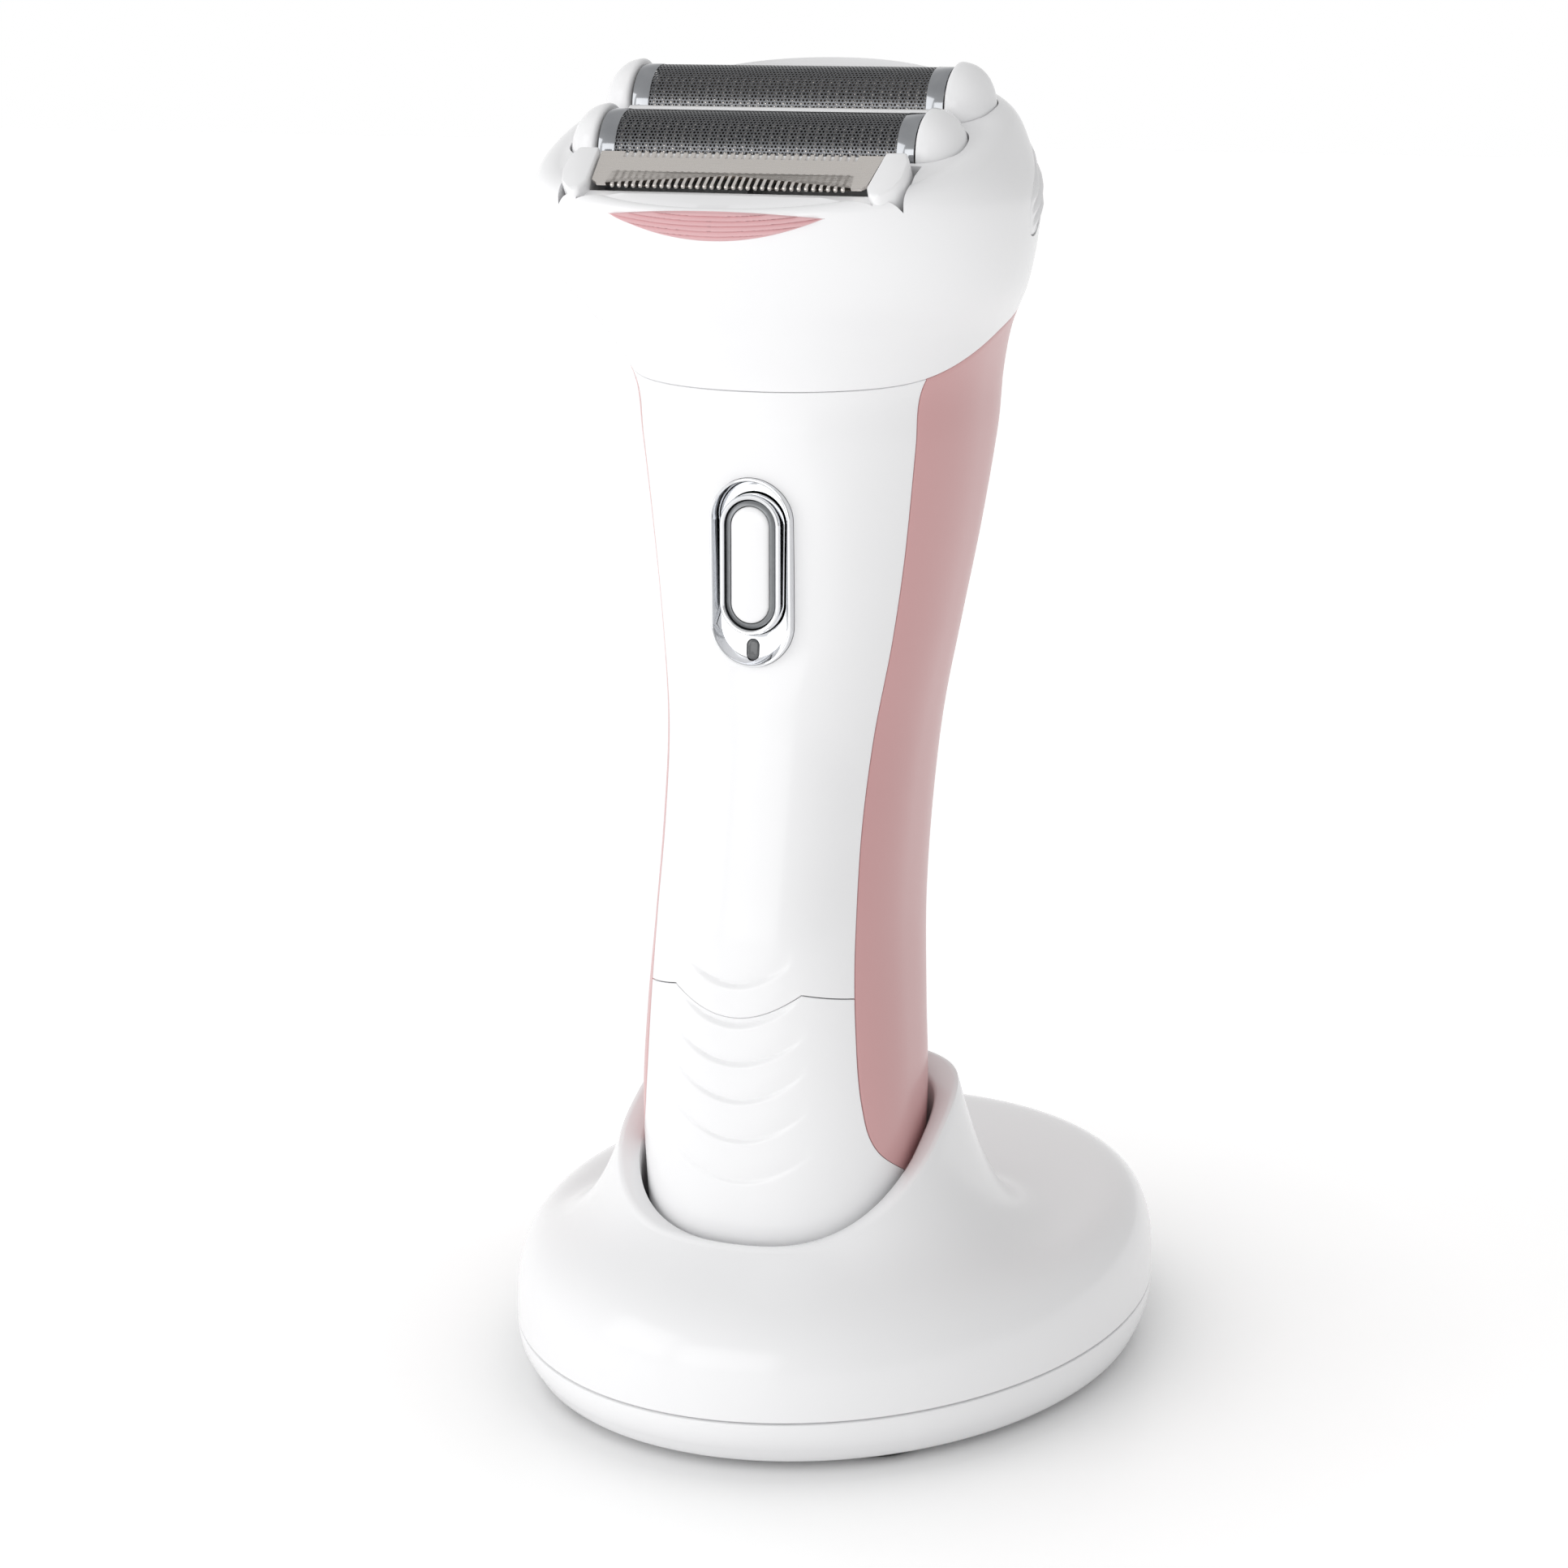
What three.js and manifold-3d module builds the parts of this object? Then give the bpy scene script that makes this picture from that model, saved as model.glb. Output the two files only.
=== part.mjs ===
// A ladies' wet and dry shaver with two foils and a trimmer comb, standing in its oval charging stand.
// Millimetres, +Z up. The origin is the centre of the stand's footprint on the table. The front faces -Y.
import * as THREE from "three";
import { mergeVertices } from "three/addons/utils/BufferGeometryUtils.js";
import Module from "manifold-3d";

const wasm = await Module();
wasm.setup();

// ---- Driving dimensions ----

const GAP = 0.35; // between pieces that touch on the real shaver
const SHELL_WALL = 1.9; // moulded walls of the shaver
const STAND_WALL = 2.2; // moulded walls of the stand

// The shaver's outer form, foot to head: height, half width, widest point's y, front y, back y,
// and the squareness of the rear half of the section.
const BODY_STATIONS = [
  [12, 16.2, -22.4, -36.2, -7.8, 3.2],
  [26, 17.0, -22.3, -38.0, -6.6, 3.2],
  [40, 17.5, -22.2, -39.0, -5.7, 3.2],
  [52, 16.8, -21.6, -39.5, -4.2, 3.2],
  [64, 15.9, -20.2, -39.0, -1.4, 3.2],
  [76, 15.8, -17.6, -36.3, 1.0, 3.2],
  [88, 16.4, -14.2, -33.9, 3.0, 3.2],
  [100, 18.1, -10.8, -33.1, 4.4, 3.2],
  [112, 19.9, -8.6, -33.2, 6.8, 3.2],
  [124, 21.4, -8.4, -33.8, 10.2, 3.2],
  [131, 22.2, -9.5, -34.1, 12.2, 2.9],
  [137, 24.6, -13.0, -37.8, 11.4, 2.5],
  [143, 28.6, -17.9, -42.0, 8.8, 2.2],
  [149, 30.5, -20.2, -45.2, 6.8, 2.2],
  [155, 30.9, -20.6, -46.4, 5.8, 2.2],
  [160, 28.9, -18.4, -45.0, 5.3, 2.2],
  [164, 26.3, -16.8, -42.0, 4.2, 2.2],
  [168, 21.0, -17.2, -37.0, 0.0, 2.2],
  [172, 14.0, -17.0, -32.0, -5.0, 2.2],
];
const FRONT_SQUARENESS = 2.2;
const RING_POINTS = 32;

const FOOT_Z = 14; // underside of the shaver in its stand
const FOOT_ROUND = 6;

// The front panel's edge: height and y of the line where white meets the coloured housing.
const PANEL_EDGE = [
  [30, -18.0],
  [32, -24.0],
  [36, -30.0],
  [42, -32.3],
  [52, -32.7],
  [62, -31.8],
  [76, -29.0],
  [88, -26.1],
  [100, -23.9],
  [112, -23.2],
  [131, -23.8],
];

// The neck seam under the head: y and height.
const NECK_SEAM = [
  [-48, 130.2],
  [-34, 131.0],
  [-23.6, 132.3],
  [-12, 137.2],
  [0, 142.0],
  [14, 146.0],
];

// Between the front cover and the lower cover: a smile whose tips fall away towards the panel's edges.
const COVER_SEAM_Z = 57.5;
const COVER_SEAM_DIP = 3.2;
const COVER_SEAM_DIP_HALF = 8.3;
const COVER_SEAM_FALL = 1.3;
const COVER_SEAM_END = 14;

// Stand
const STAND_RX = 41;
const STAND_RY = 54;
const STAND_FOOT_RX = 39.6;
const STAND_FOOT_RY = 50.8;
const STAND_SEAM_Z = 7.2;
const PLATE_BOTTOM_Z = 0.8;
const FOOT_PAD_R = 5;
const SOCKET_CLEARANCE = 0.7;
const SOCKET_FLOOR_Z = 11.6;
const LIP_WIDTH = 3;
const LIP_BEVEL = 1;
const LIP_HEIGHT = [
  [-43, 24.8],
  [-38, 26.2],
  [-26, 33.6],
  [-12, 39.8],
  [-2, 41.6],
];
const DOME_Z = 19.8;
const SHOULDER_REACH = 13;
const COLLAR_REACH = 19;
const SHELL_LEVELS = 8;
const SHELL_POINTS = 32;
const BOSS_R = 3.4;
const SCREW_HOLE_R = 1.5;
const BOSS_PLACES = [
  [-24, 22],
  [24, 22],
  [-22, -27],
  [22, -27],
];
const PAD_PLACES = [
  [-18, 34],
  [18, 34],
  [-18, -36],
  [18, -36],
];
const INLET_R = 3.6;
const INLET_Z = 11.7;
const INLET_BORE_R = 2.7;
const INLET_PIN_R = 0.95;
const BOARD_Z = [5.6, 7.2];

// Charging contacts, on the stand and under the shaver's foot
const CONTACT_X = 5;
const CONTACT_Y = -22;
const CONTACT_R = 1.6;
const PIN_R = 1.1;
const PIN_HOLE_R = 1.5;

// Power button
const BUTTON_Y = -33.4;
const BEZEL_HALF = 5.25;
const BEZEL_Z = [97.1, 120.4];
const BUTTON_HALF = 3.95;
const BUTTON_Z = [101.1, 118.4];
const RING_WIDTH = 0.65;
const TRIM_INSET = 0.95;
const TRIM_WIDTH = 0.25;
const PAD_INSET = 1.5;
const LENS_Z = [97.9, 100.4];
const LENS_HALF = 0.9;

// Drive
const MOTOR_R = 10;
const MOTOR_Y = -14;
const MOTOR_Z = [98, 124];
const SHAFT_R = 1;
const ORBIT = 1.2;
const CRANK_PIN_R = 0.9;
const GUIDE_R = 1.2;
const GUIDE_Y = -14;
const GUIDE_Z = 147.4;
const NECK_PLATE_Z = [124.2, 126.6];
const BATTERY_R = 7.15;
const BATTERY_LENGTH = 49;
const BATTERY_CENTRE = [0, -17.7, 71];
const BATTERY_LEAN = THREE.MathUtils.degToRad(9);

// Shaving head
const FOIL_TILT = THREE.MathUtils.degToRad(25.3);
const FOIL_ORIGIN = [0, -23.6, 165.8];
const FOIL_PITCH = 5.9; // each foil's distance from the middle
const FOIL_R = 5;
const FOIL_HALF = 20;
const FOIL_SHEET = 0.3;
const FOIL_CAP_END = 24.4;
const FRAME_HALF_V = 5.3;
const FRAME_HALF_X = 21.2;
const CUTTER_BLADES = 10;
const CUTTER_HALF = 17.6;
const DRIVE_POST_TOP = -8.3; // below the skin plane
const FLOAT = 1.2;
const TRIMMER_TILT = THREE.MathUtils.degToRad(35);
const TRIMMER_ORIGIN = [0, -38.3, 157.4];
const DECK_FRONT = [-43.5, 154.4]; // y and height of the rim at the front
const DECK_REAR = [-5, 168.3];
const STRIP_HALF = 13.6;
const STRIP_BOTTOM_Z = 149.6;
const STRIP_TOP_Z = 152.8;

// ---- Materials ----

function finish(colour, roughness, metalness = 0) {
  return () => new THREE.MeshStandardMaterial({ color: colour, roughness, metalness });
}
const whiteAbs = finish("#f4f4f4", 0.2);
const pinkAbs = finish("#cfa3a2", 0.25);
const greyAbs = finish("#8b8d8f", 0.5);
const darkRubber = finish("#3a3c3e", 0.8);
const chrome = finish("#d8dadc", 0.1, 1);
const steel = finish("#b9b4ae", 0.3, 1);
const foilSteel = finish("#5c5e60", 0.45, 1);
const copper = finish("#b87a4a", 0.3, 1);
const boardGreen = finish("#2f6b4a", 0.6);
const batteryWrap = finish("#4f7f9a", 0.4);
const lens = finish("#3f4143", 0.1);

// ---- Solids ----

function solid(geometry) {
  const bare = geometry.index ? geometry.toNonIndexed() : geometry.clone();
  bare.deleteAttribute("normal");
  bare.deleteAttribute("uv");
  const merged = mergeVertices(bare, 1e-4);
  const triVerts = new Uint32Array(merged.index.array);
  const vertProperties = merged.attributes.position.array;
  return new wasm.Manifold(new wasm.Mesh({ numProp: 3, vertProperties, triVerts }));
}

function meshOf(name, body, material) {
  const mesh = body.getMesh();
  const geometry = new THREE.BufferGeometry();
  geometry.setAttribute("position", new THREE.BufferAttribute(mesh.vertProperties, 3));
  geometry.setIndex(new THREE.BufferAttribute(mesh.triVerts, 1));
  geometry.computeVertexNormals();
  const made = new THREE.Mesh(geometry, material());
  made.name = name;
  return made;
}

// Joins rings of equally many points, anticlockwise from above and in rising order, and closes the ends.
function loft(rings) {
  const count = rings[0].length;
  const points = rings.flat();
  const faces = [];
  for (let ring = 0; ring + 1 < rings.length; ring++) {
    for (let i = 0; i < count; i++) {
      const a = ring * count + i;
      const b = ring * count + ((i + 1) % count);
      faces.push(a, b, b + count, a, b + count, a + count);
    }
  }
  const top = (rings.length - 1) * count;
  const middle = (ring) => ring.reduce((sum, p) => sum.add(p), new THREE.Vector3()).divideScalar(count);
  points.push(middle(rings[0]), middle(rings[rings.length - 1]));
  for (let i = 0; i < count; i++) {
    const next = (i + 1) % count;
    faces.push(next, i, points.length - 2);
    faces.push(top + i, top + next, points.length - 1);
  }
  const geometry = new THREE.BufferGeometry().setFromPoints(points);
  geometry.setIndex(faces);
  return solid(geometry);
}

function box(x, y, z) {
  const geometry = new THREE.BoxGeometry(x[1] - x[0], y[1] - y[0], z[1] - z[0]);
  geometry.translate((x[0] + x[1]) / 2, (y[0] + y[1]) / 2, (z[0] + z[1]) / 2);
  return solid(geometry);
}

// A cylinder along Z, standing on the given height.
function post(radius, z, [x, y], sides = 16) {
  const geometry = new THREE.CylinderGeometry(radius, radius, z[1] - z[0], sides);
  geometry.rotateX(Math.PI / 2);
  geometry.translate(x, y, (z[0] + z[1]) / 2);
  return solid(geometry);
}

// An outline of [y, z] points swept along X.
function sweepX(outline, halfWidth) {
  const shape = new THREE.Shape(outline.map(([y, z]) => new THREE.Vector2(y, z)));
  const geometry = new THREE.ExtrudeGeometry(shape, { depth: 2 * halfWidth, bevelEnabled: false });
  // shape x, y and depth become y, z and x
  geometry.applyMatrix4(new THREE.Matrix4().set(0, 0, 1, -halfWidth, 1, 0, 0, 0, 0, 1, 0, 0, 0, 0, 0, 1));
  return solid(geometry);
}

// An upright stadium of the given half width, between two heights, swept along Y.
function stadiumY(half, [low, high], [near, far], segments = 8) {
  const shape = new THREE.Shape();
  shape.moveTo(half, low + half);
  shape.lineTo(half, high - half);
  shape.absarc(0, high - half, half, 0, Math.PI);
  shape.lineTo(-half, low + half);
  shape.absarc(0, low + half, half, Math.PI, 2 * Math.PI);
  const settings = { depth: far - near, bevelEnabled: false, curveSegments: segments };
  const geometry = new THREE.ExtrudeGeometry(shape, settings);
  geometry.rotateX(Math.PI / 2);
  geometry.translate(0, far, 0);
  return solid(geometry);
}

// ---- Outer form of the shaver ----

// A smooth curve through [t, value] points, level beyond its ends.
function curveThrough(points) {
  const slope = (i) => {
    const before = points[Math.max(i - 1, 0)];
    const after = points[Math.min(i + 1, points.length - 1)];
    return (after[1] - before[1]) / (after[0] - before[0]);
  };
  return (t) => {
    if (t <= points[0][0]) return points[0][1];
    const last = points.length - 1;
    if (t >= points[last][0]) return points[last][1];
    const i = points.findIndex((p) => p[0] > t) - 1;
    const span = points[i + 1][0] - points[i][0];
    const u = (t - points[i][0]) / span;
    const start = points[i][1] * (1 + 2 * u) * (1 - u) ** 2 + slope(i) * span * u * (1 - u) ** 2;
    const end = points[i + 1][1] * u * u * (3 - 2 * u) - slope(i + 1) * span * u * u * (1 - u);
    return start + end;
  };
}

const bodyColumn = (column) => curveThrough(BODY_STATIONS.map((s) => [s[0], s[column]]));
const bodyHalf = bodyColumn(1);
const bodyMiddle = bodyColumn(2);
const bodyFront = bodyColumn(3);
const bodyBack = bodyColumn(4);
const bodySquareness = bodyColumn(5);
const panelEdge = curveThrough(PANEL_EDGE);
const neckSeam = curveThrough(NECK_SEAM);
const lipHeight = curveThrough(LIP_HEIGHT);

const signedPower = (value, power) => Math.sign(value) * Math.abs(value) ** power;

// A point of the shaver's section at height z, moved outward by grow; angle 0 points along +X.
function bodyPoint(z, angle, grow) {
  const rear = Math.sin(angle) > 0;
  const power = 2 / (rear ? bodySquareness(z) : FRONT_SQUARENESS);
  const depth = rear ? bodyBack(z) - bodyMiddle(z) : bodyMiddle(z) - bodyFront(z);
  const x = (bodyHalf(z) + grow) * signedPower(Math.cos(angle), power);
  const y = bodyMiddle(z) + (depth + grow) * signedPower(Math.sin(angle), power);
  return new THREE.Vector3(x, y, z);
}

function bodyRing(z, grow, count = RING_POINTS) {
  const ring = [];
  for (let i = 0; i < count; i++) ring.push(bodyPoint(z, (2 * Math.PI * i) / count, grow));
  return ring;
}

// How far the rounded foot draws the section in.
function footRounding(z) {
  const below = Math.max(0, FOOT_Z + FOOT_ROUND - z) / FOOT_ROUND;
  return FOOT_ROUND * (1 - Math.sqrt(Math.max(0, 1 - below * below)));
}

function heights(from, to, step) {
  const count = Math.ceil((to - from) / step);
  return Array.from({ length: count + 1 }, (_, i) => from + ((to - from) * i) / count);
}

// The shaver's form from its foot up, drawn in by inset.
function bodyForm(inset, top) {
  const count = inset > 0 ? 24 : RING_POINTS;
  const foot = [0, 0.8, 2.2, 4.4].map((rise) => FOOT_Z + inset + rise);
  const rising = heights(FOOT_Z + FOOT_ROUND + inset, 127, 14);
  const upper = heights(131.5, top, 4.4);
  const levels = [...foot, ...rising, ...upper];
  return loft(levels.map((z) => bodyRing(z, -inset - footRounding(z - inset), count)));
}

function seamPoints(offset) {
  return heights(-60, 30, 5).map((y) => [y, neckSeam(y) + offset]);
}

// Everything under the neck seam lowered by offset.
function underNeck(offset) {
  return sweepX([[-60, 0], [30, 0], ...seamPoints(offset).reverse()], 60);
}

// Everything in front of the panel's edge, moved forward by offset.
function beforePanelEdge(offset) {
  const edge = heights(30, 150, 8).map((z) => [panelEdge(z) - offset, z - offset]);
  return sweepX([[-70, 0], [20, 0], [20, 30 - offset], ...edge, [-70, 150]], 60);
}

// Everything under the lower cover's seam, raised by offset.
function underCoverSeam(offset) {
  const level = COVER_SEAM_Z + offset;
  const shape = new THREE.Shape();
  shape.moveTo(-40, 0);
  shape.lineTo(40, 0);
  shape.lineTo(40, level - COVER_SEAM_FALL);
  shape.lineTo(COVER_SEAM_END, level - COVER_SEAM_FALL);
  const steps = 8;
  for (let i = 0; i <= steps; i++) {
    const u = 1 - (2 * i) / steps;
    shape.lineTo(COVER_SEAM_DIP_HALF * u, level - COVER_SEAM_DIP * (1 - u * u));
  }
  shape.lineTo(-COVER_SEAM_END, level - COVER_SEAM_FALL);
  shape.lineTo(-40, level - COVER_SEAM_FALL);
  const geometry = new THREE.ExtrudeGeometry(shape, { depth: 120, bevelEnabled: false });
  geometry.rotateX(Math.PI / 2);
  geometry.translate(0, 60, 0);
  return solid(geometry);
}

// ---- Shaver body ----

const bodyOuter = bodyForm(0, 152);
const bodyInner = bodyForm(SHELL_WALL, 153);
const bodyShell = bodyOuter.subtract(bodyInner).intersect(underNeck(-GAP));

function frontCover() {
  const panel = bodyShell.intersect(beforePanelEdge(0)).subtract(underCoverSeam(0));
  return panel.subtract(stadiumY(BEZEL_HALF + GAP, [BEZEL_Z[0] - GAP, BEZEL_Z[1] + GAP], [-50, -28]));
}

function lowerCover() {
  let cover = bodyShell.intersect(beforePanelEdge(0)).intersect(underCoverSeam(-GAP));
  for (const side of [-1, 1]) {
    const hole = post(CONTACT_R + 0.4, [FOOT_Z - 1, FOOT_Z + 4], [side * CONTACT_X, CONTACT_Y]);
    cover = cover.subtract(hole);
  }
  return cover;
}

function rearHousing() {
  return bodyShell.subtract(beforePanelEdge(-GAP));
}

function neckPlate() {
  const rings = NECK_PLATE_Z.map((z) => bodyRing(z, -SHELL_WALL - 0.5));
  let plate = loft(rings).subtract(post(4.6, [120, 130], [0, MOTOR_Y]));
  for (const side of [-1, 1]) {
    const x = side * 9.6;
    const pillar = box([x - 1.6, x + 1.6], [MOTOR_Y - 3, MOTOR_Y + 3], [126, 149.5]);
    plate = plate.add(pillar).subtract(guideBore(GUIDE_R + GAP));
  }
  return plate;
}

// A bar across the head's guide, along X.
function guideBore(radius, half = 20) {
  const geometry = new THREE.CylinderGeometry(radius, radius, 2 * half, 14);
  geometry.rotateZ(Math.PI / 2);
  geometry.translate(0, GUIDE_Y, GUIDE_Z);
  return solid(geometry);
}

// ---- Inside the handle ----

function leaning(body) {
  const matrix = new THREE.Matrix4().makeRotationX(-BATTERY_LEAN);
  matrix.setPosition(...BATTERY_CENTRE);
  return body.transform(matrix.toArray());
}

function batteryCell() {
  const half = BATTERY_LENGTH / 2;
  const can = post(BATTERY_R, [-half, half - 1.2], [0, 0], 24);
  return leaning(can.add(post(2.6, [half - 1.4, half], [0, 0], 24)));
}

function motorCan() {
  const can = post(MOTOR_R, MOTOR_Z, [0, MOTOR_Y], 24).add(post(3, [123.8, 125.6], [0, MOTOR_Y]));
  return can.subtract(post(SHAFT_R + 0.4, [110, 130], [0, MOTOR_Y]));
}

function shaftSeal() {
  const cup = post(4.2, [124.4, 128], [0, MOTOR_Y], 20);
  const motorNose = post(3.4, [100, 126.2], [0, MOTOR_Y]);
  return cup.subtract(motorNose).subtract(post(SHAFT_R + GAP, [120, 130], [0, MOTOR_Y]));
}

function chassis() {
  const back = leaning(box([-8.6, 8.6], [0, 9], [-27.5, 27.5]));
  const cradle = box([-8.6, 8.6], [-8, 0], [94, 121]);
  const tie = box([-8.6, 8.6], [-8, -3], [90, 100]);
  const joined = back.add(cradle).add(tie);
  const cellPocket = leaning(post(BATTERY_R + GAP, [-24.9, 24.9], [0, 0], 24));
  return joined.subtract(cellPocket).subtract(post(MOTOR_R + GAP, [96, 140], [0, MOTOR_Y], 24));
}

function chargeContact(side) {
  return post(CONTACT_R, [FOOT_Z + 0.1, FOOT_Z + 5], [side * CONTACT_X, CONTACT_Y], 16);
}

// ---- Power button ----

function buttonBezel() {
  const rimWidth = 0.6;
  const through = [BUTTON_Y - 2, BUTTON_Y + 4];
  const body = stadiumY(BEZEL_HALF, BEZEL_Z, [BUTTON_Y - 0.9, BUTTON_Y + 2.6], 6);
  const dishZ = [BEZEL_Z[0] + rimWidth, BEZEL_Z[1] - rimWidth];
  const dish = stadiumY(BEZEL_HALF - rimWidth, dishZ, [BUTTON_Y - 2, BUTTON_Y + 1], 6);
  const opening = stadiumY(BUTTON_HALF + GAP, [BUTTON_Z[0] - GAP, BUTTON_Z[1] + GAP], through, 6);
  return body.subtract(dish).subtract(opening).subtract(stadiumY(LENS_HALF, LENS_Z, through));
}

function chargeLens() {
  const z = [LENS_Z[0] + GAP, LENS_Z[1] - GAP];
  return stadiumY(LENS_HALF - GAP, z, [BUTTON_Y + 0.6, BUTTON_Y + 3.4]);
}

// One of the nested pieces of the power button, from its outer to its inner half width.
function buttonLayer(outerInset, innerInset, proud) {
  const level = (inset) => [BUTTON_Z[0] + inset, BUTTON_Z[1] - inset];
  const face = [BUTTON_Y - proud, BUTTON_Y + 2.6];
  const layer = stadiumY(BUTTON_HALF - outerInset, level(outerInset), face, 6);
  if (innerInset === null) return layer;
  return layer.subtract(stadiumY(BUTTON_HALF - innerInset, level(innerInset), [-50, 0], 6));
}

function buttonPad() {
  const stem = box([-1.4, 1.4], [BUTTON_Y + 2.5, BUTTON_Y + 3.8], [106.5, 112.5]);
  return buttonLayer(PAD_INSET, null, 0.3).add(stem);
}

// ---- Shaft and bridge ----

function motorShaft() {
  return post(SHAFT_R, [112, 140.2], [0, MOTOR_Y], 12);
}

function eccentric() {
  const disc = post(3.6, [140.55, 143.2], [0, MOTOR_Y], 20);
  return disc.add(post(CRANK_PIN_R, [143, 145.6], [0, MOTOR_Y + ORBIT], 12));
}

// Places a body made in the foils' or the trimmer's own frame: X across, Y back, Z out of the skin plate.
function tilted(body, tilt, origin) {
  const matrix = new THREE.Matrix4().makeRotationX(tilt);
  matrix.setPosition(...origin);
  return body.transform(matrix.toArray());
}
const inFoilFrame = (body) => tilted(body, FOIL_TILT, FOIL_ORIGIN);
const inTrimmerFrame = (body) => tilted(body, TRIMMER_TILT, TRIMMER_ORIGIN);

function driveBridge() {
  const plate = inFoilFrame(box([-7, 7], [-8, 8], [-15.5, -13.4]));
  const posts = [-1, 1].map((side) => {
    return inFoilFrame(post(1.5, [-14, DRIVE_POST_TOP], [0, side * FOIL_PITCH], 14));
  });
  const yoke = box([-6.5, 6.5], [MOTOR_Y - 4.6, MOTOR_Y + 4], [144, 152.2]);
  const reach = ORBIT + CRANK_PIN_R + 0.15; // of the crank pin, with its running clearance
  const pocketX = [-ORBIT - reach, ORBIT + reach];
  const pocket = box(pocketX, [MOTOR_Y - reach, MOTOR_Y + reach], [143, 145.85]);
  const arm = box([-2, 2], [-34.2, MOTOR_Y - 4], [146.6, 148.6]);
  const finger = inTrimmerFrame(box([-1.2, 1.2], [-1.2, 1.2], [-11.2, -2.95]));
  let bridge = plate.add(yoke).add(arm).add(finger);
  for (const item of posts) bridge = bridge.add(item);
  return bridge.subtract(pocket).subtract(guideBore(GUIDE_R + GAP));
}

// ---- Shaving head ----

const deckSlope = (DECK_REAR[1] - DECK_FRONT[1]) / (DECK_REAR[0] - DECK_FRONT[0]);
const deckHeight = (y) => DECK_FRONT[1] + (y - DECK_FRONT[0]) * deckSlope;

function underDeck(offset) {
  const top = [30, -60].map((y) => [y, deckHeight(y) + offset]);
  return sweepX([[-60, 100], [30, 100], ...top], 60);
}

function headForm(inset, from) {
  const levels = heights(from, 171, 3.6);
  return loft(levels.map((z) => bodyRing(z, -inset, inset > 0 ? 24 : 36)));
}

// The rounded bar that fills a release button's cut-out, wider by grow.
function releaseOutline(side, grow) {
  const half = 3.2 + grow;
  const shape = new THREE.Shape();
  shape.absarc(5, 0, half, -Math.PI / 2, Math.PI / 2);
  shape.absarc(-5, 0, half, Math.PI / 2, (3 * Math.PI) / 2);
  const geometry = new THREE.ExtrudeGeometry(shape, { depth: 14, bevelEnabled: false, curveSegments: 6 });
  geometry.rotateZ(THREE.MathUtils.degToRad(31));
  // shape x, y and depth become y, z and x, about the button's middle
  geometry.applyMatrix4(new THREE.Matrix4().set(0, 0, 1, 21, 1, 0, 0, -13, 0, 1, 0, 155, 0, 0, 0, 1));
  const right = solid(geometry);
  return side > 0 ? right : right.mirror([1, 0, 0]);
}

function releaseButton(side) {
  const skin = headForm(-0.3, 128).subtract(headForm(3.4, 126));
  return skin.intersect(releaseOutline(side, 0));
}

function windowCut() {
  const deep = FOIL_PITCH + FRAME_HALF_V + GAP;
  const foils = inFoilFrame(box([-FRAME_HALF_X - GAP, FRAME_HALF_X + GAP], [-deep, deep], [-12, 30]));
  let cut = foils.add(inTrimmerFrame(box([-21.7, 21.7], [-4.7, 6], [-8, 30])));
  for (const side of [-1, 1]) {
    const reach = FOIL_CAP_END + 0.3 + GAP;
    const y = [side * FOIL_PITCH - FRAME_HALF_V - GAP, side * FOIL_PITCH + FRAME_HALF_V + GAP];
    cut = cut.add(inFoilFrame(box([-reach, reach], y, [-10, 30])));
  }
  return cut;
}

// The crescent on the head's front that the lotion strip fills, swept towards the front.
function stripOutline(grow) {
  const steps = 14;
  const half = STRIP_HALF + grow;
  const across = Array.from({ length: steps + 1 }, (_, i) => -1 + (2 * i) / steps);
  const lower = across.map((u) => new THREE.Vector2(half * u, STRIP_BOTTOM_Z - grow + 2.9 * u * u));
  const upper = across.map((u) => new THREE.Vector2(half * u, STRIP_TOP_Z + grow + 0.5 * (1 - u * u)));
  const shape = new THREE.Shape([...lower, ...upper.reverse()]);
  const geometry = new THREE.ExtrudeGeometry(shape, { depth: 22, bevelEnabled: false });
  geometry.rotateX(Math.PI / 2);
  geometry.translate(0, -36, 0);
  return solid(geometry);
}

function lotionStrip() {
  const skin = headForm(-0.25, 128).subtract(headForm(1.0, 126));
  return skin.intersect(stripOutline(0)).intersect(underDeck(-0.2));
}

function headHousing() {
  const above = solid(new THREE.BoxGeometry(200, 200, 200).translate(0, 0, 200)).subtract(underNeck(0));
  const outer = headForm(0, 128).intersect(underDeck(0));
  const hollow = headForm(2.2, 126).intersect(underDeck(-2.2));
  let head = outer.subtract(hollow).intersect(above).subtract(windowCut());
  const stripPocket = stripOutline(0.3).intersect(headForm(-3, 128).subtract(headForm(1.3, 126)));
  head = head.subtract(stripPocket);
  for (const side of [-1, 1]) head = head.subtract(releaseOutline(side, GAP));
  return head;
}

// An arch of the given radii, along X; its top is at the skin plane.
function arch(outer, inner, half) {
  const shape = new THREE.Shape();
  shape.absarc(0, 0, outer, 0, Math.PI);
  shape.absarc(0, 0, inner, Math.PI, 0, true);
  const settings = { depth: 2 * half, bevelEnabled: false, curveSegments: 12 };
  const geometry = new THREE.ExtrudeGeometry(shape, settings);
  geometry.applyMatrix4(new THREE.Matrix4().set(0, 0, 1, -half, 1, 0, 0, 0, 0, 1, 0, -FOIL_R, 0, 0, 0, 1));
  return solid(geometry);
}

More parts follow.
